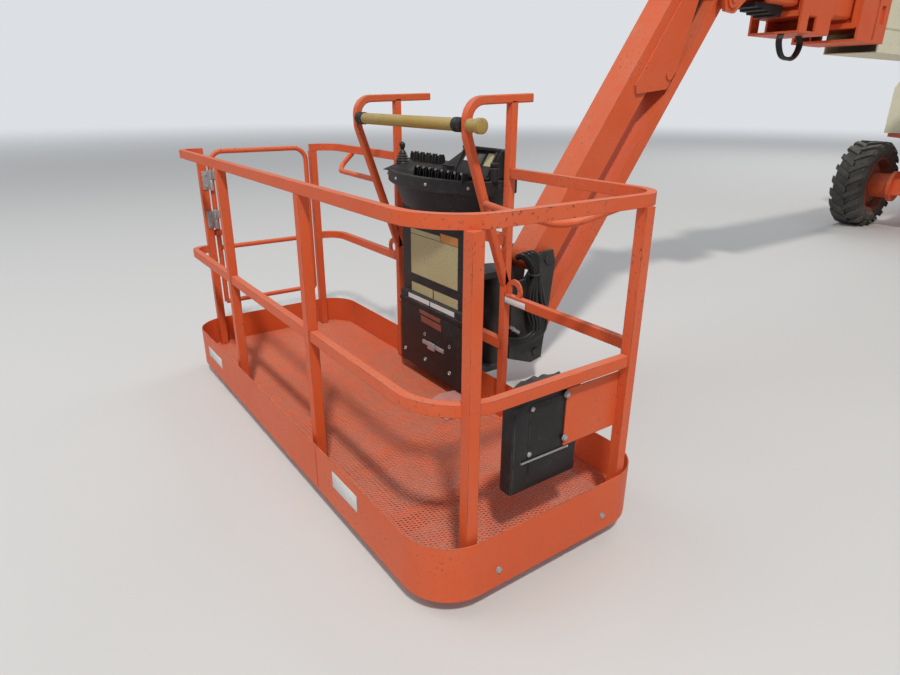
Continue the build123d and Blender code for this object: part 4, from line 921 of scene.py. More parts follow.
slant = (FRAME_KNEE_Z - LOOP_Z) / (FRAME_KNEE_Z - FRAME_FOOT_Z)
loop_start_v = FRAME_FRONT_V + (UPRIGHT_V - FRAME_FRONT_V) * slant
far_loop = (
    (UPRIGHT_U[0], loop_start_v, LOOP_Z), (0.250, 0.831, LOOP_Z - 0.004), (0.298, UPRIGHT_V, RAIL_UNDER),
)
near_loop = (
    (UPRIGHT_U[1], loop_start_v, LOOP_Z), (1.915, 0.662, LOOP_Z + 0.018), (2.238, 0.634, LOOP_Z + 0.020),
    (2.300, UPRIGHT_V - 0.003, RAIL_UNDER),
)
for route, bends in ((far_loop, (0.045,)), (near_loop, (0.150, 0.090))):
    add_bent_tube(frames, [on_platform(*place) for place in route], bends, round_section(LOOP_R), Z_WAY)
tab_end, tab_half, tab_high = EYE_TAB
for upright_u, way in zip(UPRIGHT_U, (-1, 1)):
    eye = on_platform(upright_u + way * EYE_OUT, UPRIGHT_V, EYE_Z)
    add_ring(frames, eye, X_WAY, EYE_OUTER, EYE_INNER, EYE_THICK)
    platform_block(
        frames, (upright_u, upright_u + way * (EYE_OUT - tab_end)),
        (UPRIGHT_V - tab_half, UPRIGHT_V + tab_half), (EYE_Z - tab_high, EYE_Z + tab_high),
    )
frame_piece = settle("console_frame_tubes", frames, ["orange_paint"], "platform")
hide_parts("console_frames")

# %% [markdown]
# ## The guard bar
#
# A padded yellow bar stops the operator from being pressed onto the console: a worn tube, black clamps
# at its ends and a round end housing outside the near frame. All of it is round about one axis, so its
# outline is turned, which needs only a list of distances and radii.

# %% The guard bar
GUARD_Z = 1.316
GUARD_R = 0.0245
GUARD_SIDES = 28
CLAMP_LONG = 0.058

guard_start = on_platform(UPRIGHT_U[0] + FRAME_TUBE / 2, FRAME_FRONT_V, GUARD_Z)
guard_length = UPRIGHT_U[1] - UPRIGHT_U[0] - FRAME_TUBE
clamp_raised = GUARD_R + 0.003
tube_profile = [
    (0.055, GUARD_R - 0.002), (0.060, GUARD_R), (guard_length - 0.060, GUARD_R),
    (guard_length - 0.055, GUARD_R - 0.002),
]
clamp_profile = [
    (0.0, GUARD_R - 0.004), (0.003, clamp_raised), (0.020, clamp_raised), (0.023, GUARD_R), (0.035, GUARD_R),
    (0.038, clamp_raised), (CLAMP_LONG - 0.003, clamp_raised), (CLAMP_LONG, GUARD_R - 0.004),
]
end_profile = [
    (0.0, GUARD_R), (0.046, GUARD_R), (0.050, GUARD_R + 0.004), (0.072, GUARD_R + 0.004),
    (0.076, GUARD_R - 0.002), (0.077, 0.010),
]
guard = bmesh.new()
add_turned(guard, guard_start, Y_WAY, tube_profile, 0, GUARD_SIDES)
for clamp_from in (0.0, guard_length - CLAMP_LONG):
    add_turned(guard, guard_start + Vector((0, clamp_from, 0)), Y_WAY, clamp_profile, 1, GUARD_SIDES)
end_place = on_platform(UPRIGHT_U[1] + FRAME_TUBE / 2, FRAME_FRONT_V, GUARD_Z)
add_turned(guard, end_place, Y_WAY, end_profile, 0, GUARD_SIDES)
guard_piece = settle("guard_bar_tube", guard, ["yellow_paint", "black_plastic"], "platform")
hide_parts("guard_bar")

# %% [markdown]
# ## The console
#
# The control box is a moulded tub with a rim, wider at the top than at the foot, whose front bulges
# towards the operator. On its deck stand two rows of toggles between finger guards, a joystick with a
# pleated boot, and a slanting panel under a hood. A box pushed about vertex by vertex could do, but the
# tub's front is one curve at every height, so it is lofted from one outline; a few hulls give the rest.

# %% The tub
BOX_U = (0.853, 1.600)
BOX_BACK_V = 1.003
BOX_FRONT_V = 0.811
BOX_BELLY = 0.120
BOX_FOOT = 0.940
BOX_RIM = 1.038
BOX_TOP = 1.096
BELLY_STEPS = 11
PLASTIC, RUBBER, WHITE, PAPER, IRON, ZINC = range(6)


def belly(share):
    """How far the tub's front bulges, from 1 at its middle to 0 at its sides."""
    return 1 - share * share


def box_outline(z, inset, corner=0.022):
    """The tub in plan at one height: straight back and sides, and a front that bulges."""
    low, high = BOX_U[0] + inset, BOX_U[1] - inset
    back, front = BOX_BACK_V - inset, BOX_FRONT_V + inset
    middle, half = (low + high) / 2, (high - low) / 2
    outline = [(low + corner, back), (low + corner * 0.3, back - corner * 0.3), (low, back - corner)]
    outline += [(low, front + corner), (low + corner * 0.25, front + corner * 0.2)]
    for step in range(1 - BELLY_STEPS, BELLY_STEPS):
        share = step / BELLY_STEPS
        outline.append((middle + half * share, front - BOX_BELLY * belly(share)))
    outline += [(high - corner * 0.25, front + corner * 0.2), (high, front + corner)]
    outline += [(high, back - corner), (high - corner * 0.3, back - corner * 0.3), (high - corner, back)]
    return [on_platform(u, v, z) for u, v in outline]


# Each row: the outline's height and how far it stands in from the rim.
TUB_RINGS = (
    (BOX_FOOT, 0.052), (BOX_RIM - 0.004, 0.020), (BOX_RIM, 0.020), (BOX_RIM, 0.003), (BOX_RIM + 0.003, 0.0),
    (BOX_TOP - 0.003, 0.0), (BOX_TOP, 0.003), (BOX_TOP, 0.012), (BOX_TOP - 0.010, 0.014),
)
console = bmesh.new()
add_loft(console, [box_outline(z, inset) for z, inset in TUB_RINGS], PLASTIC)

# %% The raised deck and the hood
DECK_U = (0.880, 1.245)
DECK_SIDE = ((0.760, BOX_TOP - 0.012), (0.912, 1.132), (0.985, 1.132), (0.985, BOX_TOP - 0.012))
HOOD_TOP = 1.211
HOOD_EDGE = 0.007
HOOD_LOW_U, HOOD_HIGH_U = (1.236, 1.580), (1.350, 1.580)
HOOD_SHOULDER = 1.125
HOOD_SIDE = (
    (0.849, 1.098, HOOD_LOW_U), (0.862, HOOD_SHOULDER, HOOD_LOW_U), (0.917, HOOD_TOP, HOOD_HIGH_U),
    (0.985, 1.098, HOOD_LOW_U), (0.985, HOOD_TOP, HOOD_HIGH_U), (0.985, HOOD_SHOULDER, HOOD_LOW_U),
)
add_hull(console, [on_platform(u, v, z) for u in DECK_U for v, z in DECK_SIDE], PLASTIC)
add_hull(console, [on_platform(u, v, z) for v, z, us in HOOD_SIDE for u in us], PLASTIC, HOOD_EDGE)
for side_u in (1.352, 1.574):
    lip_low, lip_high = on_platform(side_u, 0.852, 1.112), on_platform(side_u, 0.908, HOOD_TOP + 0.004)
    add_bar(console, lip_low, lip_high, 0.007, 0.012, PLASTIC, X_WAY)
add_bar(
    console, on_platform(HOOD_HIGH_U[0], 0.904, HOOD_TOP + 0.003),
    on_platform(HOOD_HIGH_U[1], 0.904, HOOD_TOP + 0.003), 0.020, 0.007, PLASTIC, Z_WAY,
)
platform_block(console, (1.262, 1.340), (0.846, 0.858), (1.128, 1.136), RUBBER)

# %% The hood's blank labels
LABEL_THICK = 0.0012
LABEL_LIFT = 0.0015
# Each row: where the label starts and ends along and up, and its finish.
HOOD_LABELS = (
    ((1.372, 1.432), (1.160, 1.196), WHITE), ((1.515, 1.566), (1.148, 1.197), PAPER),
    ((1.452, 1.500), (1.152, 1.192), IRON),
)


def on_hood(u, z):
    """A place just proud of the hood's slanting face."""
    slope = (0.917 - 0.862) / (HOOD_TOP - HOOD_SHOULDER)
    return on_platform(u, 0.862 + (z - HOOD_SHOULDER) * slope - LABEL_LIFT, z)


def label_corners(us, zs):
    """The corners of a rectangle, along and up, turning about its face."""
    return [(us[0], zs[0]), (us[1], zs[0]), (us[1], zs[1]), (us[0], zs[1])]


for us, zs, finish in HOOD_LABELS:
    add_sheet_part(console, [on_hood(u, z) for u, z in label_corners(us, zs)], LABEL_THICK, finish)

# %% The joystick, the stop button and the screws
BOOT_PLEATS = 5
BOOT_PITCH = 0.011
BUTTON_U, BUTTON_V = 1.594, 0.872
SCREW_U = (0.905, 1.105, 1.345, 1.545)
SCREW_Z = 1.067
SCREW_HEAD = [(0, 0.007), (0.007, 0.007), (0.009, 0.004)]

boot = on_platform(0.897, 0.868, 1.112)
pleats = [(0.0, 0.036)]
for step in range(BOOT_PLEATS):
    along = BOOT_PITCH * step
    pleats += [(along + 0.006, 0.033 - 0.0045 * step), (along + 0.011, 0.036 - 0.0055 * step)]
add_turned(console, boot, Z_WAY, pleats + [(0.062, 0.006), (0.064, 0.005)], RUBBER, 24)
knob = [(0.0, 0.007), (0.012, 0.008), (0.020, 0.013), (0.034, 0.015), (0.042, 0.012), (0.047, 0.005)]
add_turned(console, boot + Vector((0, 0, 0.050)), (0.05, 0.02, 1), knob, RUBBER)
button_foot = [(0.0, 0.019), (0.050, 0.018), (0.054, 0.014)]
button_head = [(0.0, 0.010), (0.008, 0.017), (0.018, 0.018), (0.022, 0.014)]
add_turned(console, on_platform(BUTTON_U, BUTTON_V, 1.094), Z_WAY, button_foot, RUBBER)
add_turned(console, on_platform(BUTTON_U, BUTTON_V, 1.146), Z_WAY, button_head, RUBBER)
box_middle, box_half = (BOX_U[0] + BOX_U[1]) / 2, (BOX_U[1] - BOX_U[0]) / 2
for screw_u in SCREW_U:
    screw_v = BOX_FRONT_V - BOX_BELLY * belly((screw_u - box_middle) / box_half) + 0.004
    add_turned(console, on_platform(screw_u, screw_v, SCREW_Z), X_WAY, SCREW_HEAD, ZINC, 12)
console_piece = settle(
    "console_box", console,
    ["black_plastic", "hose_rubber", "white_label", "paper_label", "cast_iron", "zinc"],
    "platform",
)
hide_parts("control_box")

# %% [markdown]
# ## The toggles
#
# Each toggle stands between two upright fins that keep a glove from moving it. Thirteen of them are the
# same, so one is modelled on its own origin and the tree sets out both rows. The light tips of the
# levers are a second unit on the same places, because a repeated piece has one finish.

# %% The toggles and their guards
FIN_OUT = 0.0145
FIN_HALF = 0.0025
FIN_OUTLINE = ((-0.019, 0), (0.019, 0), (-0.012, 0.040), (0.012, 0.040), (-0.018, 0.024), (0.018, 0.024))
LEVER_LEAN = (0.2, 0, 1)
CAP_LIFT = Vector((0.006, 0, 0.033))
# Each row: where its first toggle stands, how many there are, and how far apart.
TOGGLE_ROWS = (((1.186, 0.776, BOX_TOP - 0.011), 8, 0.0465), ((0.960, 0.900, 1.128), 5, 0.052))


def toggle_unit():
    """One toggle between two finger guards, on its own origin."""
    unit = bmesh.new()
    for side in (-FIN_OUT, FIN_OUT):
        add_hull(unit, [(x, side + y, z) for y in (-FIN_HALF, FIN_HALF) for x, z in FIN_OUTLINE], 0, 0)
    add_turned(unit, (0, 0, 0), Z_WAY, [(0, 0.010), (0.009, 0.009), (0.012, 0.005)], 0, 10)
    lever = [(0, 0.0035), (0.014, 0.004), (0.024, 0.0055), (0.027, 0.003)]
    add_turned(unit, (0, 0, 0.010), LEVER_LEAN, lever, 0, 10)
    return unit


def cap_unit():
    """The light tip of one lever."""
    unit = bmesh.new()
    add_turned(unit, (0, 0, 0), LEVER_LEAN, [(0, 0.0055), (0.006, 0.006), (0.009, 0.003)], 0, 10)
    return unit


toggle_places = [
    on_platform(u + pitch * step, v, z) for (u, v, z), count, pitch in TOGGLE_ROWS for step in range(count)
]
repeat_at(
    "console_toggles", toggle_unit(), [(place, Z_WAY) for place in toggle_places], "black_plastic",
    "platform",
)
repeat_at(
    "toggle_caps", cap_unit(), [(place + CAP_LIFT, Z_WAY) for place in toggle_places], "zinc",
    "platform",
)

# %% [markdown]
# ## The cabinet below it
#
# A flat box hangs between the two uprights, with a lidded manual tray below. They are folded sheet, so
# blocks with softened edges are enough. The labels could be painted in the material, but a label has an
# edge that catches light and peels, so each is a thin sheet of faded paper. They stay blank.

# %% The cabinet
CABINET_U = (0.932, 1.494)
CABINET_FRONT_V = 0.837
CABINET_BACK_V = 0.886
CABINET_FOOT, TRAY_TOP, CABINET_TOP = 0.106, 0.498, 0.942
TRAY_FRONT_V = 0.817
TRAY_PROUD = 0.006
LABEL_GAP = 0.0005
CASE, YELLOWED, AMBER, PALE, RED, METAL = range(6)

cabinet = bmesh.new()
# Each row: how far in from the ends, front, back, low, high, softened edge.
for inset, front_v, back_v, low_z, high_z, edge in (
    (0.0, CABINET_FRONT_V, CABINET_BACK_V, CABINET_FOOT, CABINET_TOP, 0.008),
    (-0.004, TRAY_FRONT_V, CABINET_BACK_V, CABINET_FOOT, TRAY_TOP, 0.014),
    (0.055, TRAY_FRONT_V - 0.004, TRAY_FRONT_V + TRAY_PROUD, 0.200, 0.440, 0.004),
    (0.004, TRAY_FRONT_V - 0.007, TRAY_FRONT_V + TRAY_PROUD, 0.440, 0.462, 0.004),
):
    ends = (CABINET_U[0] + inset, CABINET_U[1] - inset)
    platform_block(cabinet, ends, (front_v, back_v), (low_z, high_z), CASE, edge)

# %% The cabinet's blank labels
LID_FRONT_V = TRAY_FRONT_V - 0.0045
LIP_FRONT_V = TRAY_FRONT_V - 0.0005
# Each row: corners along and up, finish, and the face that it is stuck to.
FRONT_LABELS = [
    ([(1.012, 0.592), (1.402, 0.590), (1.402, 0.790), (1.012, 0.790)], YELLOWED, CABINET_FRONT_V),
    (label_corners((1.012, 1.262), (0.792, 0.816)), YELLOWED, CABINET_FRONT_V),
    (label_corners((1.266, 1.402), (0.792, 0.830)), AMBER, CABINET_FRONT_V),
    (label_corners((1.014, 1.202), (0.468, 0.492)), PALE, LIP_FRONT_V),
    (label_corners((1.014, 1.202), (0.500, 0.546)), YELLOWED, CABINET_FRONT_V),
    (label_corners((1.210, 1.406), (0.468, 0.492)), PALE, LIP_FRONT_V),
    (label_corners((1.210, 1.406), (0.500, 0.546)), YELLOWED, CABINET_FRONT_V),
    ([(1.135, 0.372), (1.308, 0.366), (1.306, 0.398), (1.133, 0.404)], RED, LID_FRONT_V),
    ([(1.120, 0.412), (1.300, 0.408), (1.300, 0.428), (1.120, 0.432)], RED, LID_FRONT_V),
]
for corners, finish, front_v in FRONT_LABELS:
    add_sheet_part(cabinet, [on_platform(u, front_v - LABEL_GAP, z) for u, z in corners], LABEL_THICK, finish)

# %% The cabinet's latch and screws
SCREW_PLACES = ((1.163, 0.176), (1.373, 0.176), (0.975, 0.176), (1.163, 0.312), (1.373, 0.312))
SCREW_CUP = [(0, 0.010), (0.006, 0.010), (0.007, 0.008), (0.003, 0.006)]

latch_plate = (TRAY_FRONT_V - 0.011, TRAY_FRONT_V - 0.003)
latch_hook = (TRAY_FRONT_V - 0.018, TRAY_FRONT_V - 0.008)
platform_block(cabinet, (1.150, 1.330), latch_plate, (0.262, 0.282), METAL, 0.002)
platform_block(cabinet, (1.205, 1.262), latch_hook, (0.252, 0.290), METAL, 0.003)
for screw_u, screw_z in SCREW_PLACES:
    add_turned(cabinet, on_platform(screw_u, TRAY_FRONT_V + 0.001, screw_z), X_WAY, SCREW_CUP, METAL, 14)
cabinet_piece = settle(
    "cabinet_housing", cabinet,
    ["black_plastic", "paper_label", "amber_label", "white_label", "dark_red_paint", "zinc"],
    "platform",
)
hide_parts("cabinet", "storage_box")

# %% [markdown]
# ## The document box and its sleeve
#
# A black lidded box hangs inside the near end rail. Its lid and its end cap stand a few millimetres proud
# of it, so they are blocks of their own, and a wire rod holds the lid. A crumpled sleeve lies on the box.
# Cloth would fall flat under simulation and take time in every run; the sleeve is stiff and only a hand
# high, so its rings are pushed about by two sizes of noise.

# %% The document box
DOCUMENT_FACE_U = 2.376
DOCUMENT_DEPTH = 0.052
DOCUMENT_V = (0.327, 0.612)
DOCUMENT_Z = (0.252, 0.574)
ROD_V = (0.361, 0.560)
ROD_Z = 0.362
ROD_WIDE = 0.006
DOCUMENT_BOLTS = ((0.402, 0.540), (0.398, 0.384))

document = bmesh.new()
# Each row: how far in and how far out of the face, places in from the side, heights, softened edge.
for deep, proud, vs, zs, edge in (
    (DOCUMENT_DEPTH, 0.0, DOCUMENT_V, DOCUMENT_Z, 0.010),
    (0.004, 0.004, (0.398, 0.600), (0.274, 0.556), 0.004),
    (0.004, 0.003, (0.336, 0.388), (0.262, 0.560), 0.003),
):
    platform_block(document, (DOCUMENT_FACE_U - deep, DOCUMENT_FACE_U + proud), vs, zs, 0, edge)
add_bar(
    document, on_platform(DOCUMENT_FACE_U + 0.008, ROD_V[0], ROD_Z + 0.002),
    on_platform(DOCUMENT_FACE_U + 0.008, ROD_V[1], ROD_Z), ROD_WIDE, ROD_WIDE, 1,
)
for bolt_v, bolt_z in DOCUMENT_BOLTS:
    add_turned(
        document, on_platform(DOCUMENT_FACE_U + 0.002, bolt_v, bolt_z), Y_WAY,
        [(0, 0.009), (0.004, 0.008), (0.006, 0.004)], 1, 12,
    )
document_piece = settle("document_case", document, ["black_plastic", "zinc"], "platform")
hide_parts("document_box")

# %% The crumpled sleeve on it
SLEEVE_ROWS = 9
SLEEVE_STEPS = 26
SLEEVE_U = 2.349
SLEEVE_START_V, SLEEVE_LONG = 0.350, 0.190
SLEEVE_HALF_WIDE, SLEEVE_HALF_HIGH = 0.026, 0.024
# Each row: cells per metre along u, v and z, and how far the sleeve moves.
CRUMPLES = (((45, 38, 45), 0.011), ((110, 90, 110), 0.005))


def crumpled(u, v, z):
    """How far the sleeve stands out or in at a place."""
    return sum(noise.noise(Vector((u * a, v * b, z * c))) * amount for (a, b, c), amount in CRUMPLES)


sleeve_rings = []
for row in range(SLEEVE_ROWS + 1):
    along = row / SLEEVE_ROWS
    squeeze = 0.35 + 0.65 * math.sin(math.pi * (0.08 + 0.84 * along))
    v = SLEEVE_START_V + SLEEVE_LONG * along
    ring = []
    for cosine, sine in circle(SLEEVE_STEPS):
        u = SLEEVE_U + SLEEVE_HALF_WIDE * squeeze * cosine
        z = DOCUMENT_Z[1] + SLEEVE_HALF_HIGH + SLEEVE_HALF_HIGH * squeeze * sine
        crumple = crumpled(u, v, z)
        resting_z = max(z + sine * crumple, DOCUMENT_Z[1] + 0.0005)
        ring.append(on_platform(u + cosine * crumple, v + crumple * 0.6, resting_z))
    sleeve_rings.append(ring)
sleeve = bmesh.new()
add_loft(sleeve, sleeve_rings)
settle("document_sleeve", sleeve, ["hose_rubber"], "platform", SOFT_SHARP_FROM)

# %% [markdown]
# ## The gate's hinges
#
# Two zinc-plated leaf hinges carry the gate at the far end. One leaf and the lower half of the knuckle
# stay with the platform, the other leaf and the upper half swing with the gate, so the hinge is made as
# two pieces that ride on two bodies and meet in the pin's line.

# %% The hinges
HINGE_LEVELS = ((0.932, 1.041), (0.725, 0.829))
PIN_U, PIN_V = 0.062, 0.176
PIN_R = 0.0085
LEAF_U = (0.059, 0.065)
FIXED_LEAF_V, GATE_LEAF_V = (0.130, 0.172), (0.181, 0.206)
LEAF_EDGE = 0.001
LEAF_BOLT = [(0, 0.008), (0.005, 0.008), (0.006, 0.006)]

fixed_leaves = bmesh.new()
gate_leaves = bmesh.new()
for low_z, high_z in HINGE_LEVELS:
    middle_z = (low_z + high_z) / 2
    half = middle_z - low_z
    platform_block(fixed_leaves, LEAF_U, FIXED_LEAF_V, (low_z + 0.006, high_z - 0.006), 0, LEAF_EDGE)
    lower_half = [(0, 0.0075), (0.004, PIN_R), (half - 0.002, PIN_R), (half, 0.0070)]
    add_turned(fixed_leaves, on_platform(PIN_U, PIN_V, low_z), Z_WAY, lower_half, 0, 14)
    for bolt_z in (low_z + 0.024, high_z - 0.024):
        add_turned(fixed_leaves, on_platform(LEAF_U[1], 0.148, bolt_z), Y_WAY, LEAF_BOLT, 0, 6)
    upper_half = [(0, 0.0070), (0.002, PIN_R), (half - 0.005, PIN_R), (half - 0.001, 0.0075)]
    add_turned(gate_leaves, on_platform(PIN_U, PIN_V, middle_z + 0.001), Z_WAY, upper_half, 0, 14)
    platform_block(gate_leaves, LEAF_U, GATE_LEAF_V, (middle_z + 0.004, high_z - 0.004), 0, LEAF_EDGE)
settle("gate_hinge_leaves", fixed_leaves, ["zinc"], "platform")
settle("gate_side_leaves", gate_leaves, ["zinc"], "platform_gate")

# %% [markdown]
# ## Bolts and blank labels on the toe board
#
# The toe board is a bent sheet with one welded seam and a few bolts, and it carries two white labels. A
# seam could be a line of bump, but it stands out from the sheet and shows at the edge, so it is a thin
# bar. The labels stay blank.

# %% Labels and seam
# Each row: where the label starts and ends along the board, and its heights.
BOARD_LABELS = (((1.790, 1.978), (0.092, 0.158)), ((0.252, 0.478), (0.078, 0.132)))
SHEET_EDGE = 0.0004
SEAM_U = 1.648
SEAM_Z = (0.010, 0.190)

board = bmesh.new()
for us, zs in BOARD_LABELS:
    platform_block(board, us, (0.0, -LABEL_THICK), zs, 0, SHEET_EDGE)
settle("toe_board_labels", board, ["white_label"], "platform")
seam = bmesh.new()
seam_low, seam_high = (on_platform(SEAM_U, 0.0, z) for z in SEAM_Z)
add_bar(seam, seam_low, seam_high, 0.004, 0.003, 0, X_WAY, 0.0008)
settle("toe_board_seam", seam, ["orange_paint"], "platform")

# %% Bolts on the board and on the box's hanger
BOARD_LONG = 2.440
BOARD_BOLT_Z = 0.064
BOARD_BOLT_V = (0.702, 0.240)
HANGER_BOLTS = ((2.386, 0.538, 0.555), (2.386, 0.542, 0.400))

board_bolts = [(on_platform(BOARD_LONG, v, BOARD_BOLT_Z), Y_WAY) for v in BOARD_BOLT_V]
board_bolts += [(on_platform(0.0, v, BOARD_BOLT_Z), (0, -1, 0)) for v in BOARD_BOLT_V[::-1]]
board_bolts += [(on_platform(*place), Y_WAY) for place in HANGER_BOLTS]
repeat_at("platform_bolts", bolt_unit(), board_bolts, "zinc", "platform")

# %% [markdown]
# ## Hoses
#
# Hydraulic hoses and cables leave the boom's mouth in a loop, and a thicker bundle hangs beside the
# rotator. They are held at both ends by fittings and ties on the piece that carries them, so they move
# with it and need no simulation: each is a smooth curve along the few points that pull on it. The bundle
# keeps to the inner side of the rotator, out of the way of the arms that swing past it.

# %% Places along the machine
STATION_ZERO = -3.375
HOSE_WANDER = 0.008
HOSE_SEED = 1795728146


def at_station(x, y, z):
    """A place by its distance along the machine, its side and its height, in millimetres."""
    return Vector((STATION_ZERO + x / 1000, y / 1000, z / 1000))


def wander(points, strand):
    """The same run, with each inner point moved a little, as one hose of a bundle lies beside another."""
    moved = [points[0]]
    for step, point in enumerate(points[1:-1]):
        moved.append(point + noise.noise_vector(Vector((strand * 3.1, step * 1.7, 0.5))) * HOSE_WANDER)
    return moved + [points[-1]]


# %% The bundle beside the rotator
# noise_vector takes its offsets from the clock unless it is given a seed, and then no two runs agree.
noise.seed_set(HOSE_SEED)
STRANDS = 16
STRAND_RADII = (0.0064, 0.0082, 0.0100)
STRAND_LIFT = 9
# Each row, in millimetres: station, distance out from the rotator's side, height.
INNER_RUN = (
    (7966, -20, 738), (7962, 8, 756), (7925, 12, 722), (7892, 12, 672), (7888, 12, 628), (7922, 14, 545),
    (7912, 16, 462), (7882, 16, 400), (7868, 16, 352), (7900, 14, 320), (7960, 6, 312), (8006, -22, 318),
)
OUTER_RUN = (
    (7882, -20, 742), (7874, 12, 764), (7856, 30, 722), (7846, 34, 672), (7844, 36, 610), (7815, 38, 515),
    (7782, 38, 430), (7771, 36, 372), (7790, 34, 322), (7850, 30, 292), (7930, 14, 283), (8002, -22, 292),
)
# Each row: station, height and direction of a tie.
TIES = ((7868, 650, (0.1, 0, 1)), (7850, 480, (0.35, 0, 1)))
TIE_RING = [(-0.004, 0.036), (-0.002, 0.039), (0.002, 0.039), (0.004, 0.036)]
FITTING = [
    (0, 0.009), (0.018, 0.009), (0.018, 0.013), (0.034, 0.013), (0.034, 0.010), (0.060, 0.010),
    (0.060, 0.012), (0.074, 0.012),
]

bundle = bmesh.new()
bundle_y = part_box("rotator")[1][1] * 1000 + 14
for strand in range(STRANDS):
    share = strand / (STRANDS - 1)
    out_share = 0.5 + 0.5 * math.sin(strand * 1.9)
    lift = STRAND_LIFT * math.sin(strand * 2.4)
    run = []
    for (near_x, near_out, near_z), (far_x, far_out, far_z) in zip(INNER_RUN, OUTER_RUN):
        out = near_out + (far_out - near_out) * out_share
        x, z = near_x + (far_x - near_x) * share, near_z + (far_z - near_z) * share + lift
        run.append(at_station(x, bundle_y + out, z))
    add_tube(bundle, wander(run, strand), STRAND_RADII[strand % 3])
for tie_x, tie_z, tie_ahead in TIES:
    add_turned(bundle, at_station(tie_x, bundle_y + 22, tie_z), tie_ahead, TIE_RING, 1)
add_turned(bundle, at_station(8000, bundle_y - 4, 388), (-0.8, 0, -0.6), FITTING, 2, 12)
settle(
    "rotator_hoses", bundle, ["hose_rubber", "black_plastic", "zinc"], "rotator_support",
    SOFT_SHARP_FROM,
)

# %% The hoses under the boom's collar
MOUTH_HOSE_R = 0.0085
# Each row, in millimetres: how far out a hose hangs, and how much lower.
MOUTH_STRANDS = ((0, 0), (13, 9), (-12, 5))

mouth = bmesh.new()
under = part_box("mid_collar")[0][2] * 1000 + 8
for out, drop in MOUTH_STRANDS:
    loop = (
        (5770, 48, under), (5796, 52, (under + 1790) / 2), (5790, 54, 1790 - drop), (5752, 56, 1734 - drop),
        (5690, 56, 1714 - drop), (5610, 54, 1716 - drop), (5552, 52, 1744), (5526, 50, 1800),
        (5536, 46, (under + 1800) / 2), (5560, 42, under),
    )
    add_tube(mouth, [at_station(x, y + out, z) for x, y, z in loop], MOUTH_HOSE_R)
settle("mouth_hoses", mouth, ["hose_rubber"], "boom_mid", SOFT_SHARP_FROM)

# %% [markdown]
# ## The foot switch
#
# A red sheet-metal cover, open to the front, keeps tools off the pedal. A block with a hole cut in it
# would have thick walls, so the cover is a few thin plates along its side profile, with a dark pedal
# inside.

# %% The foot switch
PEDAL_U = (1.440, 1.560)
PEDAL_IN = 0.014
PLATE = 0.004
# Each row: in from the platform's side, and up from the floor.
COVER_TOP = ((0.668, 0.058), (0.712, 0.072), (0.796, 0.064))
COVER_WALL = ((0.690, 0.004), *COVER_TOP, (0.796, 0.004))
PEDAL_SIDE = ((0.690, 0.010), (0.690, 0.018), (0.785, 0.034), (0.785, 0.010))

pedal = bmesh.new()
pedal_floor = floor_high.z - toe_low[2]
platform_block(pedal, PEDAL_U, (0.664, 0.801), (pedal_floor, pedal_floor + PLATE), 0, 0.001)
for ends in zip(COVER_TOP, COVER_TOP[1:]):
    add_hull(pedal, [
        on_platform(u, v, pedal_floor + z + thick) for u in PEDAL_U for v, z in ends for thick in (0.0, PLATE)
    ], 0, 0.001)
for wall_u in (PEDAL_U[0], PEDAL_U[1] - PLATE):
    add_hull(pedal, [
        on_platform(wall_u + thick, v, pedal_floor + z) for thick in (0.0, PLATE) for v, z in COVER_WALL
    ], 0, 0.0005)
platform_block(pedal, PEDAL_U, (0.793, 0.797), (pedal_floor, pedal_floor + 0.066), 0, 0.001)
add_hull(pedal, [
    on_platform(u, v, pedal_floor + z)
    for u in (PEDAL_U[0] + PEDAL_IN, PEDAL_U[1] - PEDAL_IN) for v, z in PEDAL_SIDE
], 1, 0.002)
pedal_piece = settle("foot_switch_cover", pedal, ["red_pedal", "black_plastic"], "platform")
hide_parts("foot_switch")

# %% [markdown]
# ## Plugs, bolts and studs
#
# The jib's sides carry a row of round plugs, the collars the heads of the bolts that set their wear
# pads, and each rim nine studs round its hub. All of them are one bolt head or one plug, and only their
# places differ, so the tree takes each list of places in turn.


# %% Bolts along the boom and the jib
def both_sides(spots):
    """The same places on the left and right side, each pointing outwards."""
    return [(at_station(x, way * y, z), (0, way, 0)) for x, y, z in spots for way in (1, -1)]


def plug_unit(radius=0.013):
    """A shallow round plug on its own origin."""
    unit = bmesh.new()
    profile = [(0, radius), (0.003, radius), (0.0042, radius * 0.8), (0.0035, radius * 0.5)]
    add_turned(unit, (0, 0, -0.001), Z_WAY, profile, 0, 16)
    return unit


JIB_PLUGS = ((6825, 80, 1898), (6903, 80, 1776), (6996, 80, 1645), (7082, 80, 1522))
repeat_at("jib_plugs", plug_unit(), both_sides(JIB_PLUGS), "orange_paint", "jib")
# Each row: collar, body, bolt's width and height, stations, heights.
COLLARS = (
    ("base_collar", "boom_base", (0.022, 0.011), (4770, 4870, 4955, 5105), (2240, 2390)),
    ("mid_collar", "boom_mid", (0.019, 0.010), (5450, 5570, 5725, 5768), (2200, 2330)),
)
for collar, body, bolt_size, stations, heights in COLLARS:
    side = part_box(collar)[1][1] * 1000
    spots = both_sides([(x, side, z) for x in stations for z in heights])
    repeat_at(collar + "_bolts", bolt_unit(*bolt_size), spots, "zinc", body)

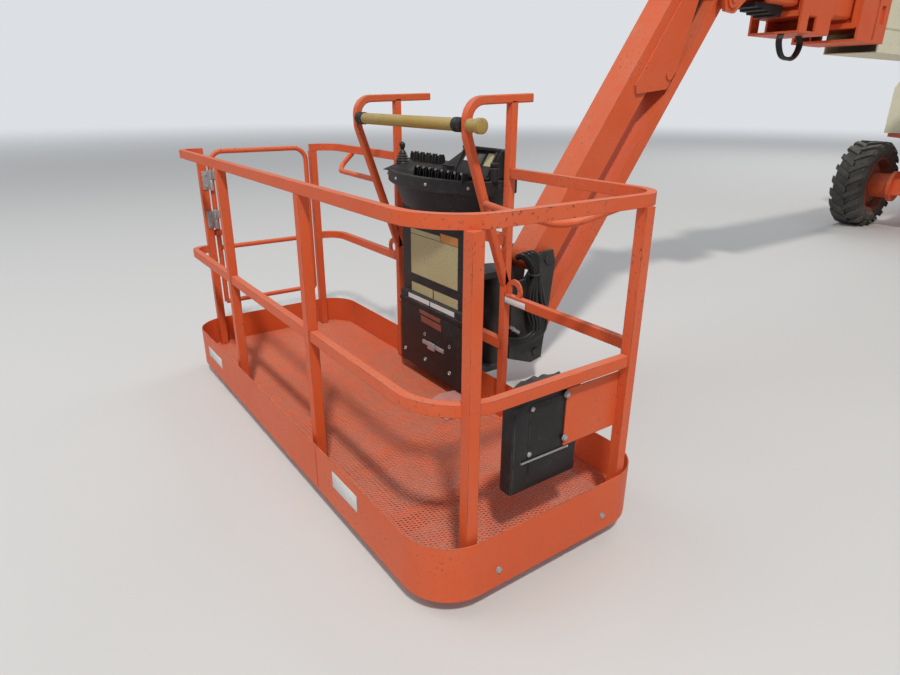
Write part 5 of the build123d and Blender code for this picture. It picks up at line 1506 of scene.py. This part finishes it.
# %% Studs round the hubs
STUD_CIRCLE = 0.135
STUDS = 9
HUB_FACE = 0.978
STUD_SIZE = (0.030, 0.022)
for wheel in ("front_left", "front_right", "rear_left", "rear_right"):
    rim_low, rim_high = (Vector(corner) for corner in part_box("rim_" + wheel))
    middle = (rim_low + rim_high) / 2
    way = 1 if middle.y > 0 else -1
    spots = [
        (Vector((middle.x + STUD_CIRCLE * cosine, way * HUB_FACE, middle.z + STUD_CIRCLE * sine)),
         (0, way, 0))
        for cosine, sine in circle(STUDS)
    ]
    repeat_at("studs_" + wheel, bolt_unit(*STUD_SIZE), spots, "zinc", "wheel_" + wheel)

# %% [markdown]
# ## Louvres and latches on the hoods
#
# Behind the hoods sit an engine and tanks, so each hood has slots for air, pressed outwards as louvres,
# and latches at its foot. Bump alone would leave the hood's outline smooth from the side. The louvre is
# one pressed lip, opening downwards, and the tree sets out the rows; panel gaps are thin black strips,
# the shade inside each gap painted on.

# %% The hoods' louvres and latches
LOUVRE_LONG = 0.230
LOUVRE_INSET = 0.012
LOUVRE_LIP = ((0.010, -0.008), (0.006, 0.001))
LOUVRE_ROWS, LOUVRE_TOP, LOUVRE_PITCH = 10, 1.40, 0.034
LOUVRE_STARTS = (0.42, 0.70, 1.95, 2.23)
LATCH_STARTS = (0.55, 1.45, 2.35)
PAINTED_GAP_SHADE_STARTS = (0.98, 1.90)


def louvre_unit(way):
    """One pressed louvre on its own origin, opening downwards, on the left or the right hood."""
    unit = bmesh.new()
    corners = []
    for end in (-1, 1):
        outer, inner = end * LOUVRE_LONG / 2, end * (LOUVRE_LONG / 2 - LOUVRE_INSET)
        corners += [(outer, 0.0, 0.009), (inner, 0.0, -0.009)]
        corners += [(inner, out * way, z) for out, z in LOUVRE_LIP]
    add_hull(unit, corners, 0, 0.0)
    return unit


for name, body in (("hood_left", "left_hood"), ("hood_right", "right_hood")):
    hood_low, hood_high = (Vector(corner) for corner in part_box(name))
    way = 1 if hood_high.y > 1 else -1
    side_y = hood_high.y if way > 0 else hood_low.y
    spots = [
        (Vector((hood_low.x + start, side_y, LOUVRE_TOP - LOUVRE_PITCH * row)), Z_WAY)
        for start in LOUVRE_STARTS for row in range(LOUVRE_ROWS)
    ]
    repeat_at(name + "_louvres", louvre_unit(way), spots, "cream_paint", body)
    trim = bmesh.new()
    # Each row: x from and to, heights, in and out of the hood's side, finish, softened edge.
    foot = hood_low.z
    strips = []
    for start in LATCH_STARTS:
        x = hood_low.x + start
        strips.append((x - 0.055, x + 0.055, foot + 0.10, foot + 0.17, -0.001, 0.004, 0, 0.003))
        strips.append((x - 0.040, x + 0.040, foot + 0.118, foot + 0.150, 0.003, 0.011, 1, 0.003))
    ends = (hood_low.x + 0.03, hood_high.x - 0.03)
    strips.append((*ends, foot + 0.002, foot + 0.030, -0.001, 0.003, 0, 0.001))
    # Painted shade: each panel gap is a thin black strip standing in for the shade inside the gap.
    for start in PAINTED_GAP_SHADE_STARTS:
        x = hood_low.x + start
        strips.append((x - 0.002, x + 0.002, foot + 0.035, hood_high.z - 0.265, -0.001, 0.0008, 0, 0.0))
    for low_x, high_x, low_z, high_z, deep, proud, finish, edge in strips:
        inner, outer = (low_x, side_y + deep * way, low_z), (high_x, side_y + proud * way, high_z)
        add_block(trim, inner, outer, finish, edge)
    settle(name + "_trim", trim, ["black_plastic", "zinc"], body)

# %% [markdown]
# ## The ground controls
#
# The box at the side of the turntable repeats the platform's controls for someone on the ground: two
# rows of toggles, a stop button and a blank dial on one plate. It is seen from a few steps away, so its
# switches are two turned solids each, without finger guards.

# %% The ground controls' face
CONTROL_ROWS, CONTROL_COLUMNS = 2, 5
CONTROL_STEP = (0.052, 0.085)
SWITCH_NUT = [(0, 0.011), (0.006, 0.011), (0.008, 0.008)]
SWITCH_LEVER = [(0, 0.0035), (0.016, 0.004), (0.024, 0.0055), (0.027, 0.003)]
STOP_BUTTON = [
    (0, 0.020), (0.010, 0.020), (0.012, 0.015), (0.020, 0.015), (0.022, 0.026), (0.032, 0.026),
    (0.036, 0.020),
]
BLANK_DIAL = [(0, 0.030), (0.007, 0.030), (0.009, 0.026), (0.006, 0.024)]

control_low, control_high = (Vector(corner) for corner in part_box("ground_controls"))
face_x = control_high.x + 0.003
ground = bmesh.new()
add_block(
    ground, (face_x - 0.005, control_low.y + 0.030, control_high.z - 0.330),
    (face_x + 0.001, control_high.y - 0.030, control_high.z - 0.030), 1, 0.003,
)
for row in range(CONTROL_ROWS):
    for column in range(CONTROL_COLUMNS):
        y = control_low.y + 0.065 + CONTROL_STEP[0] * column
        place = Vector((face_x, y, control_high.z - 0.100 - CONTROL_STEP[1] * row))
        add_turned(ground, place, X_WAY, SWITCH_NUT, 2, 14)
        add_turned(ground, place + Vector((0.006, 0, 0)), (1, 0, 0.25), SWITCH_LEVER, 2, 10)
low_row_z = control_high.z - 0.275
add_turned(ground, (face_x, control_low.y + 0.085, low_row_z), X_WAY, STOP_BUTTON, 3, 24)
add_turned(ground, (face_x, control_high.y - 0.105, low_row_z), X_WAY, BLANK_DIAL, 4, 28)
settle(
    "ground_control_face", ground, ["black_plastic", "cast_iron", "zinc", "red_pedal", "white_label"],
    "turntable",
)

# %% [markdown]
# ## A blank strip on the back rail
#
# A narrow white label runs along the back rail beside the near upright. Like the others it is a thin
# sheet, and it stays blank.

# %% The strip
strip = bmesh.new()
platform_block(strip, (1.672, 1.800), (0.8852, 0.8864), (0.600, 0.626), 0, SHEET_EDGE)
settle("rail_strip_label", strip, ["white_label"], "platform")
